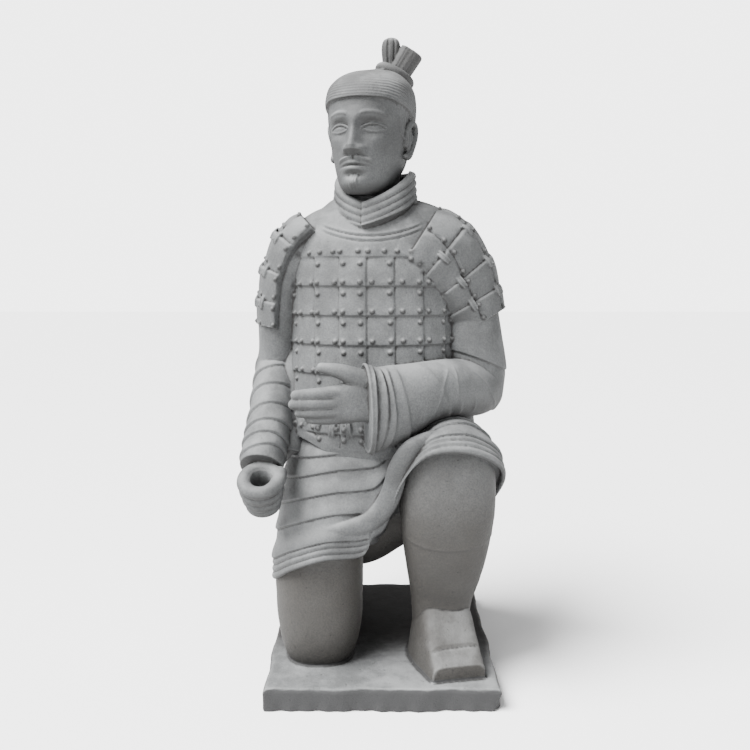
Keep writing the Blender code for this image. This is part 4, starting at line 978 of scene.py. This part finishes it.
# The legs under the robe, the shoe and the block that the figure kneels on
legs = {
    "raised": [
        (10.3, -9.6, 36.8, 5.0, 5.0),
        (10.3, -10.6, 34.4, 6.9, 6.7),
        (10.4, -10.9, 30.5, 7.2, 7.45),
        (10.4, -10.7, 25.5, 7.1, 7.45),
        (10.3, -10.0, 20.0, 6.6, 6.95),
        (10.1, -9.2, 14.5, 5.6, 6.0),
        (9.8, -8.5, 9.8, 4.7, 5.0),
        (9.7, -8.2, 4.0, 4.5, 4.5),
        (9.7, -8.2, -1.0, 4.5, 4.5),
    ],
    "shoe": [
        (9.0, -2.6, 0.0, 4.0, 2.6),
        (9.3, -5.0, 0.0, 6.4, 3.8),
        (9.9, -8.6, 0.0, 9.7, 4.4),
        (10.4, -11.4, 0.0, 9.8, 4.3),
        (10.8, -13.2, 0.0, 8.9, 4.25),
        (11.2, -14.9, 0.0, 6.7, 4.2),
        (11.55, -16.4, 0.0, 4.75, 4.2),
        (11.85, -17.6, 0.0, 3.4, 4.15),
        (12.05, -18.6, 0.0, 2.45, 4.1),
    ],
    "knee": [
        (-9.4, 2.0, 29.0, 8.0, 7.0),
        (-9.8, -3.5, 22.0, 8.0, 7.0),
        (-10.2, -7.2, 16.0, 7.6, 7.2),
        (-10.2, -8.0, 11.0, 7.2, 7.1),
        (-10.1, -8.0, 6.4, 7.2, 6.9),
        (-10.1, -7.8, 2.9, 6.9, 6.3),
        (-10.1, -7.5, 0.7, 6.1, 5.4),
        (-10.1, -7.2, -0.8, 5.3, 4.6),
    ],
    "shin": [
        (-10.1, -8.0, 5.2, 5.2, 5.4),
        (-10.1, 0.0, 5.8, 6.4, 5.8),
        (-9.9, 8.0, 6.0, 6.8, 5.5),
        (-9.7, 13.0, 6.0, 5.4, 4.6),
        (-9.6, 15.4, 6.4, 4.4, 3.8),
    ],
    "foot": [
        (-9.6, 13.8, 17.4, 1.6, 2.4),
        (-9.6, 14.6, 15.0, 2.6, 3.4),
        (-9.6, 15.6, 10.0, 2.7, 3.6),
        (-9.7, 16.6, 5.0, 2.5, 4.1),
        (-9.7, 16.9, 2.0, 2.6, 4.5),
        (-9.7, 16.4, -0.8, 3.4, 4.5),
    ],
    # heights of the line round the shin and how much the line bows, and the shoe's strap
    "line": (20.2, 0.03),
    "strapPlace": -16.5,
    "strapDeep": 0.34,
    "webs": (
        [(-10.0, 6.0, 26.0, 6.0, 6.5), (-10.0, 8.0, 16.0, 7.0, 6.4), (-9.9, 9.0, 8.0, 5.0, 5.2)],
        [
            (-8.0, 1.0, 16.8, 5.5, 5.2),
            (-3.0, 0.6, 17.3, 5.4, 5.1),
            (2.4, -0.5, 20.7, 5.2, 5.0),
            (8.0, -1.5, 22.2, 5.2, 5.0),
        ],
    ),
    "voxel": 0.0021,
    "triangles": 190000,
    "weather": ((0.04, 0.0012), (0.012, 0.0005)),
}
# in metres; the plinth widens to the back by the flare, a share of its width
plinth = {
    "width": 0.428,
    "depth": 0.4985,
    "chamfer": 0.006,
    "flare": 0.02,
    "front": -0.2526,
    "cornerChip": 26,
}


def raisedLeg():
    form = limb(legs["raised"], 320, 300, power=2.7)
    z = form.points[..., 2]
    height, bow = legs["line"]
    line = height + bow * (form.points[..., 0] - 10.4) ** 2
    return form.raised(0.10 * ridge(z - line, 0.26) + 0.05 * ramp(z, line - 0.2, line + 0.2))


def shoeForm():
    form = limb(legs["shoe"], 300, 300, facing=(0, 0, 1), power=5.5)
    x, z = form.points[..., 0], form.points[..., 2]
    drop = z.max(axis=1)[:, None] - z
    inner = ramp(x.mean(axis=1)[:, None] - x, 0.0, 3.0)
    form.points[..., 0] -= 0.13 * inner * np.minimum(drop, 10)  # the inner side leans out below
    way = form.points.mean(axis=1)[:, None, 1]
    strap = ridge(way - legs["strapPlace"], 0.3) * ramp(form.normals[..., 2], 0.5, 0.8)
    form = form.raised(-legs["strapDeep"] * strap)
    form.points[..., 2] = np.maximum(form.points[..., 2], -1.0)
    return form


def plinthForm():  # sawn block with worn edges, chipped at its front corner on the figure's left
    wide, deep = plinth["width"] / 2 / unit, plinth["depth"] / 2 / unit
    edge = plinth["chamfer"] / unit
    low = -plinthTop / unit
    run = np.linspace(-1, 1, 260)
    full = np.ones(260)
    across = np.concatenate([run, full, -run, -full])
    back = np.concatenate([-full, run, full, -run])
    wave = 0.13 * np.sin(across * 9 + back * 7) + 0.10 * np.sin(across * 17 - back * 13 + 1)
    fineWave = 0.05 * np.sin(across * 41 + 2) + 0.05 * np.sin(back * 37 + across * 5)
    rings = []
    outline = (
        (low, 0.15), (low + 0.3, 0.0), (low * 0.6, 0.05),
        (-edge * 1.3, 0.0), (-edge * 0.3, edge * 0.5), (0.0, edge * 1.1),
    )
    for z, inset in outline:
        spread = wide * (1 + plinth["flare"] * (back + 1) / 2) - inset
        sway = wave + fineWave * (1 + 1.5 * math.sin(z * 3))
        x = across * spread + np.sign(across) * sway * (np.abs(across) > 0.99)
        y = back * (deep - inset) + np.sign(back) * sway * (np.abs(back) > 0.99)
        corner = np.maximum(0, across * 0.5 - back * 0.5 - 0.975) * plinth["cornerChip"]
        corner = corner * (0.4 + 0.6 * z / low) * ramp(-z, 0.4, 3.0)
        x, y = x - corner, y + corner
        rings.append(np.stack([x, y, np.full(len(across), z)], -1))
    points = np.array(rings)
    return Form(points, gridNormals(points))


forms = [raisedLeg(), shoeForm(), plinthForm()]
forms.append(limb(legs["knee"], 240, 260, power=2.5))
forms.append(limb(legs["foot"], 160, 200, power=2.6))
forms.append(limb(legs["shin"], 160, 200, facing=(0, 0, 1), power=2.4))
forms += [limb(web, 60, 80) for web in legs["webs"]]
legsPiece = skin("legsAndPlinth", forms)
carvePiece(legsPiece, legs)
for vertex in legsPiece.data.vertices:  # the sawn front and underside are flat
    vertex.co.y = max(vertex.co.y, plinth["front"])
    vertex.co.z = max(vertex.co.z, 0.0)


# Stone: shared effects are node groups, and each piece gives them its own values
def newGroup(name, inputs, outputs):
    group = bpy.data.node_groups.new(name, "ShaderNodeTree")
    for label, kind, value in inputs:
        socket = group.interface.new_socket(label, in_out="INPUT", socket_type=kind)
        if value is not None:
            socket.default_value = value
    for label, kind in outputs:
        group.interface.new_socket(label, in_out="OUTPUT", socket_type=kind)
    return group, group.nodes.new("NodeGroupInput").outputs, group.nodes.new("NodeGroupOutput").inputs


def addNode(tree, kind, links=(), **settings):
    node = tree.nodes.new(kind)
    for key, value in settings.items():
        setattr(node, key, value)
    for socket, source in links:
        if isinstance(source, bpy.types.NodeSocket):
            tree.links.new(source, node.inputs[socket])
        else:
            node.inputs[socket].default_value = source
    return node


def addMath(tree, operation, first, second, clamp=False):
    links = [(0, first), (1, second)]
    return addNode(tree, "ShaderNodeMath", links, operation=operation, use_clamp=clamp).outputs[0]


def multiply(tree, first, second, clamp=False):
    return addMath(tree, "MULTIPLY", first, second, clamp)


def opposite(tree, source):  # 1 where the mask is 0, and 0 where it is 1
    return addMath(tree, "SUBTRACT", 1.0, source)


def addRamp(tree, source, low, high):  # 0 up to low, 1 from high
    links = [("Value", source), ("From Min", low), ("From Max", high)]
    return addNode(tree, "ShaderNodeMapRange", links, interpolation_type="SMOOTHSTEP").outputs["Result"]


def addNoise(tree, vector, scale, detail, roughness):
    links = [("Vector", vector), ("Scale", scale), ("Detail", detail), ("Roughness", roughness)]
    return addNode(tree, "ShaderNodeTexNoise", links).outputs["Fac"]


def addUpward(tree):  # how much a face looks up, from -1 to 1
    facing = addNode(tree, "ShaderNodeNewGeometry").outputs["Normal"]
    return addNode(tree, "ShaderNodeSeparateXYZ", [("Vector", facing)]).outputs["Z"]


def mixColors(tree, amount, first, second, blend="MIX"):
    links = [(0, amount), (6, first), (7, second)]  # the factor and the two colours
    return addNode(tree, "ShaderNodeMix", links, data_type="RGBA", blend_type=blend).outputs[2]


def grainGroup():  # sand grain, darker flecks and small pits
    number = "NodeSocketFloat"
    group, given, put = newGroup(
        "stoneGrain",
        [
            ("Vector", "NodeSocketVector", None), ("Grain Scale", number, 300.0),
            ("Pit Scale", number, 150.0), ("Pit Share", number, 0.3),
        ],
        [("Grain", number), ("Pits", number), ("Cloud", number), ("Height", number)],
    )
    grain = addNoise(group, given["Vector"], given["Grain Scale"], 3.0, 0.7)
    rough = addNoise(group, given["Vector"], given["Pit Scale"], 4.0, 0.65)
    cloud = addRamp(group, addNoise(group, given["Vector"], 11.0, 6.0, 0.62), 0.36, 0.66)
    pits = addRamp(group, addMath(group, "SUBTRACT", given["Pit Share"], rough), 0.0, 0.06)
    height = multiply(group, grain, 0.3)
    height = addMath(group, "ADD", height, multiply(group, rough, 0.6))
    height = addMath(group, "SUBTRACT", height, multiply(group, pits, 0.5))
    for label, source in (("Grain", grain), ("Pits", pits), ("Cloud", cloud), ("Height", height)):
        group.links.new(source, put[label])
    return group


def patinaAndShadeGroup():  # painted shade and dirt in the hollows, painted shade on what faces down, pale worn edges, and dust on what faces up
    colour, number = "NodeSocketColor", "NodeSocketFloat"
    group, given, put = newGroup(
        "stonePatinaAndShade",
        [
            ("Color", colour, (0.06, 0.06, 0.06, 1)), ("Shade And Dirt", colour, (0.01, 0.01, 0.01, 1)),
            ("Pale", colour, (0.3, 0.3, 0.3, 1)), ("Shade And Dirt Amount", number, 0.9),
            ("Wear Amount", number, 0.1), ("Dust Amount", number, 0.3), ("Cloud", number, 0.5),
        ],
        [("Color", colour)],
    )
    fine = addNode(group, "ShaderNodeAttribute", attribute_name="fineHollow").outputs["Fac"]
    broad = addNode(group, "ShaderNodeAttribute", attribute_name="broadHollow").outputs["Fac"]
    upward = addUpward(group)
    dust = multiply(group, addRamp(group, upward, 0.0, 0.95), given["Dust Amount"])
    dust = multiply(group, dust, addMath(group, "ADD", given["Cloud"], 0.4), clamp=True)
    edges = addRamp(group, multiply(group, fine, -1.0), 0.2, 1.0)
    wear = multiply(group, edges, given["Wear Amount"])
    # painted shade in the broad hollows
    wide = multiply(group, addRamp(group, broad, 0.2, 0.9), 0.7)
    # painted shade and dirt in the fine hollows, with the broad hollows' painted shade
    hollowShadeAndDirt = addMath(group, "MAXIMUM", addRamp(group, fine, 0.15, 0.8), wide)
    shadeAndDirt = multiply(group, hollowShadeAndDirt, given["Shade And Dirt Amount"], clamp=True)
    downward = multiply(group, upward, -1.0)
    # painted shade on faces that look down
    undersideShade = multiply(group, addRamp(group, downward, 0.0, 0.8), 0.7)
    colours = mixColors(group, dust, given["Color"], given["Pale"])
    colours = mixColors(group, wear, colours, given["Pale"])
    colours = mixColors(group, addMath(group, "MAXIMUM", shadeAndDirt, undersideShade), colours, given["Shade And Dirt"])
    group.links.new(colours, put["Color"])
    return group


def stoneMaterial(name, values):
    material = bpy.data.materials.new(name)
    material.use_nodes = True
    tree = material.node_tree
    place = addNode(tree, "ShaderNodeTexCoord").outputs["Object"]
    axes = addNode(tree, "ShaderNodeSeparateXYZ", [("Vector", place)]).outputs
    links = [
        ("Vector", place), ("Grain Scale", values["grainScale"]),
        ("Pit Scale", values["pitScale"]), ("Pit Share", values["pitShare"]),
    ]
    grain = addNode(tree, "ShaderNodeGroup", links, node_tree=stoneGrain).outputs
    streak = addNoise(tree, place, 24.0, 5.0, 0.65)
    base = mixColors(tree, grain["Cloud"], values["dark"], values["light"])

    # a brown tone over a part of the height, never on the plinth: earth low on the legs, and a darker
    # crown and knot on the head
    overPlinth = addRamp(tree, axes["Z"], values["plinthMaskTop"] - 0.004, values["plinthMaskTop"])
    reach = addMath(tree, "ADD", axes["Z"], multiply(tree, streak, values["brownFray"]))
    brown = opposite(tree, addRamp(tree, reach, values["brownFrom"], values["brownTo"]))
    brown = multiply(tree, brown, multiply(tree, overPlinth, values["brownAmount"]))
    base = mixColors(tree, brown, base, values["brown"])

    # the top of the plinth is stained and given painted shadow, darker the further back it lies, and its
    # sawn sides are dark
    onPlinth = opposite(tree, overPlinth)
    back = addMath(tree, "ADD", axes["Y"], multiply(tree, streak, values["stainShadowFray"]))
    stainAndShadow = multiply(tree, onPlinth, addRamp(tree, back, values["stainShadowFrom"], values["stainShadowTo"]))
    stainAndShadow = multiply(tree, stainAndShadow, values["plinthStainAndShadowAmount"])
    sawn = opposite(tree, addRamp(tree, addUpward(tree), 0.45, 0.85))
    sawn = multiply(tree, sawn, multiply(tree, onPlinth, values["plinthStainAndShadowAmount"]))

    flecks = addRamp(tree, grain["Grain"], 0.36, 0.64)
    speckle = mixColors(tree, flecks, values["fleckDark"], values["fleckLight"])
    base = mixColors(tree, values["fleckAmount"], base, speckle, "OVERLAY")
    studs = addNode(tree, "ShaderNodeAttribute", attribute_name="studMask").outputs["Fac"]
    base = mixColors(tree, multiply(tree, studs, values["studAmount"]), base, values["stud"])
    links = [
        ("Color", base), ("Cloud", grain["Cloud"]), ("Shade And Dirt", values["shadeAndDirt"]), ("Pale", values["pale"]),
        ("Shade And Dirt Amount", values["shadeAndDirtAmount"]), ("Wear Amount", values["wearAmount"]),
        ("Dust Amount", values["dustAmount"]),
    ]
    patinaAndShade = addNode(tree, "ShaderNodeGroup", links, node_tree=stonePatinaAndShade).outputs["Color"]
    # stain and painted shadow on the back of the plinth top
    finish = mixColors(tree, stainAndShadow, patinaAndShade, values["stainAndShadow"])
    finish = mixColors(tree, sawn, finish, values["sawn"])
    pits = multiply(tree, grain["Pits"], values["pitDark"])
    finish = mixColors(tree, pits, finish, values["shadeAndDirt"])

    roughness = multiply(tree, grain["Grain"], values["grainRough"])
    roughness = addMath(tree, "ADD", roughness, values["roughness"])
    links = [("Height", grain["Height"]), ("Strength", values["bump"]), ("Distance", values["bumpDeep"])]
    relief = addNode(tree, "ShaderNodeBump", links).outputs["Normal"]
    shader = tree.nodes["Principled BSDF"].inputs
    for socket, source in (("Base Color", finish), ("Roughness", roughness), ("Normal", relief)):
        tree.links.new(source, shader[socket])
    shader["Specular IOR Level"].default_value = values["specular"]
    return material


stoneGrain = grainGroup()
stonePatinaAndShade = patinaAndShadeGroup()
stone = {
    "grainScale": 300.0,
    "pitScale": 150.0,
    "pitShare": 0.31,
    "dark": (0.046, 0.0475, 0.048, 1),
    "light": (0.072, 0.0745, 0.0755, 1),
    "stud": (0.013, 0.013, 0.013, 1),
    "studAmount": 0.9,
    "brown": (0.030, 0.0265, 0.0225, 1),
    "brownFrom": 0.10,
    "brownTo": 0.34,
    "brownFray": 0.10,
    "brownAmount": 0.0,
    # stain and painted shadow on the plinth: top of the plinth's part, where the darkening starts and is
    # full, and how ragged it is
    "stainAndShadow": (0.006, 0.0045, 0.004, 1),
    "sawn": (0.021, 0.021, 0.0215, 1),
    "plinthMaskTop": 0.050,
    "stainShadowFrom": -0.10,
    "stainShadowTo": 0.06,
    "stainShadowFray": 0.12,
    "plinthStainAndShadowAmount": 0.0,
    "fleckAmount": 0.9,
    "fleckDark": (0.42, 0.42, 0.43, 1),
    "fleckLight": (0.60, 0.60, 0.59, 1),
    # near black for painted shade in hollows and under things, and for dirt and pits
    "shadeAndDirt": (0.010, 0.0095, 0.009, 1),
    "pale": (0.27, 0.275, 0.275, 1),
    "shadeAndDirtAmount": 0.92,
    "wearAmount": 0.12,
    "dustAmount": 0.30,
    "pitDark": 0.6,
    "roughness": 0.66,
    "grainRough": 0.16,
    "bump": 0.9,
    "bumpDeep": 0.0012,
    "specular": 0.35,
}
headFinish = {
    "dark": (0.036, 0.037, 0.0375, 1),
    "light": (0.058, 0.060, 0.0605, 1),
    "pitShare": 0.28,
    # the crown and knot grow darker towards the top
    "brown": (0.022, 0.021, 0.020, 1),
    "brownFrom": 1.25,
    "brownTo": 1.10,
    "brownAmount": 0.6,
}
legsFinish = {
    "pitShare": 0.35,
    "brown": (0.024, 0.0215, 0.0185, 1),
    "brownFrom": 0.3,
    "brownTo": 0.62,
    "brownAmount": 0.85,
    "plinthStainAndShadowAmount": 0.95,
}
finishes = ((headPiece, headFinish), (bodyPiece, {}), (robePiece, {}), (legsPiece, legsFinish))
for piece, changes in finishes:
    piece.data.materials.append(stoneMaterial(piece.name + "Stone", {**stone, **changes}))
    selectOnly(piece)
    bpy.ops.object.shade_smooth()
    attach(piece, "root")
    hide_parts("statue")
print("stone finished")


# A pale floor, soft lights and the camera
studio = {
    "floor": (0.88, 0.88, 0.88, 1),
    "floorRough": 0.8,
    "sky": (1.0, 1.0, 1.0, 1),
    "skyStrength": 0.7,
    "skySeen": 4.3,
    "sun": {"aim": (33, -12, -46), "power": 15.0, "spread": 36},
    # name, place, size, power
    "lamps": (
        ("frontLamp", (-1.6, -2.4, 2.6), 1.4, 80.0),
        ("fillLamp", (2.4, -2.8, 1.4), 2.2, 5.0),
    ),
    "aim": (0.0, 0.0, 0.65),
}
bpy.ops.mesh.primitive_plane_add(size=30, location=(0, 0, 0))
floorPiece = bpy.context.object
floorPiece.name = "paleFloor"
floorPaint = bpy.data.materials.new("floorPaint")
floorPaint.use_nodes = True
paint = floorPaint.node_tree.nodes["Principled BSDF"].inputs
paint["Base Color"].default_value = studio["floor"]
paint["Roughness"].default_value = studio["floorRough"]
floorPiece.data.materials.append(floorPaint)

world = bpy.data.worlds.new("softRoom")
world.use_nodes = True
room = world.node_tree
light = room.nodes["Background"]
light.inputs["Color"].default_value = studio["sky"]
light.inputs["Strength"].default_value = studio["skyStrength"]
seen = addNode(room, "ShaderNodeBackground", [("Color", studio["sky"]), ("Strength", studio["skySeen"])])
ray = addNode(room, "ShaderNodeLightPath").outputs["Is Camera Ray"]
both = addNode(room, "ShaderNodeMixShader", [("Fac", ray), (1, light.outputs[0]), (2, seen.outputs[0])])
room.links.new(both.outputs[0], room.nodes["World Output"].inputs["Surface"])
bpy.context.scene.world = world

for name, place, size, power in studio["lamps"]:
    bpy.ops.object.light_add(type="AREA", location=place)
    lamp = bpy.context.object
    lamp.name = name
    lamp.data.shape = "DISK"
    lamp.data.size = size
    lamp.data.energy = power
    lamp.rotation_euler = (Vector(studio["aim"]) - Vector(place)).to_track_quat("-Z", "Y").to_euler()

bpy.ops.object.light_add(type="SUN", rotation=[math.radians(turn) for turn in studio["sun"]["aim"]])
sun = bpy.context.object
sun.name = "softSun"
sun.data.energy = studio["sun"]["power"]
sun.data.angle = math.radians(studio["sun"]["spread"])

camera = {"place": (-0.01276, -1.60440, 0.77978), "pitch": 7.186, "lens": 38.64}
bpy.ops.object.camera_add(location=camera["place"], rotation=(math.radians(90 - camera["pitch"]), 0, 0))
eye = bpy.context.object
eye.name = "photoCamera"
eye.data.lens = camera["lens"]
eye.data.sensor_width = 36.0
bpy.context.scene.camera = eye
print("stage, lights and camera set")

bpy.context.view_layer.update()
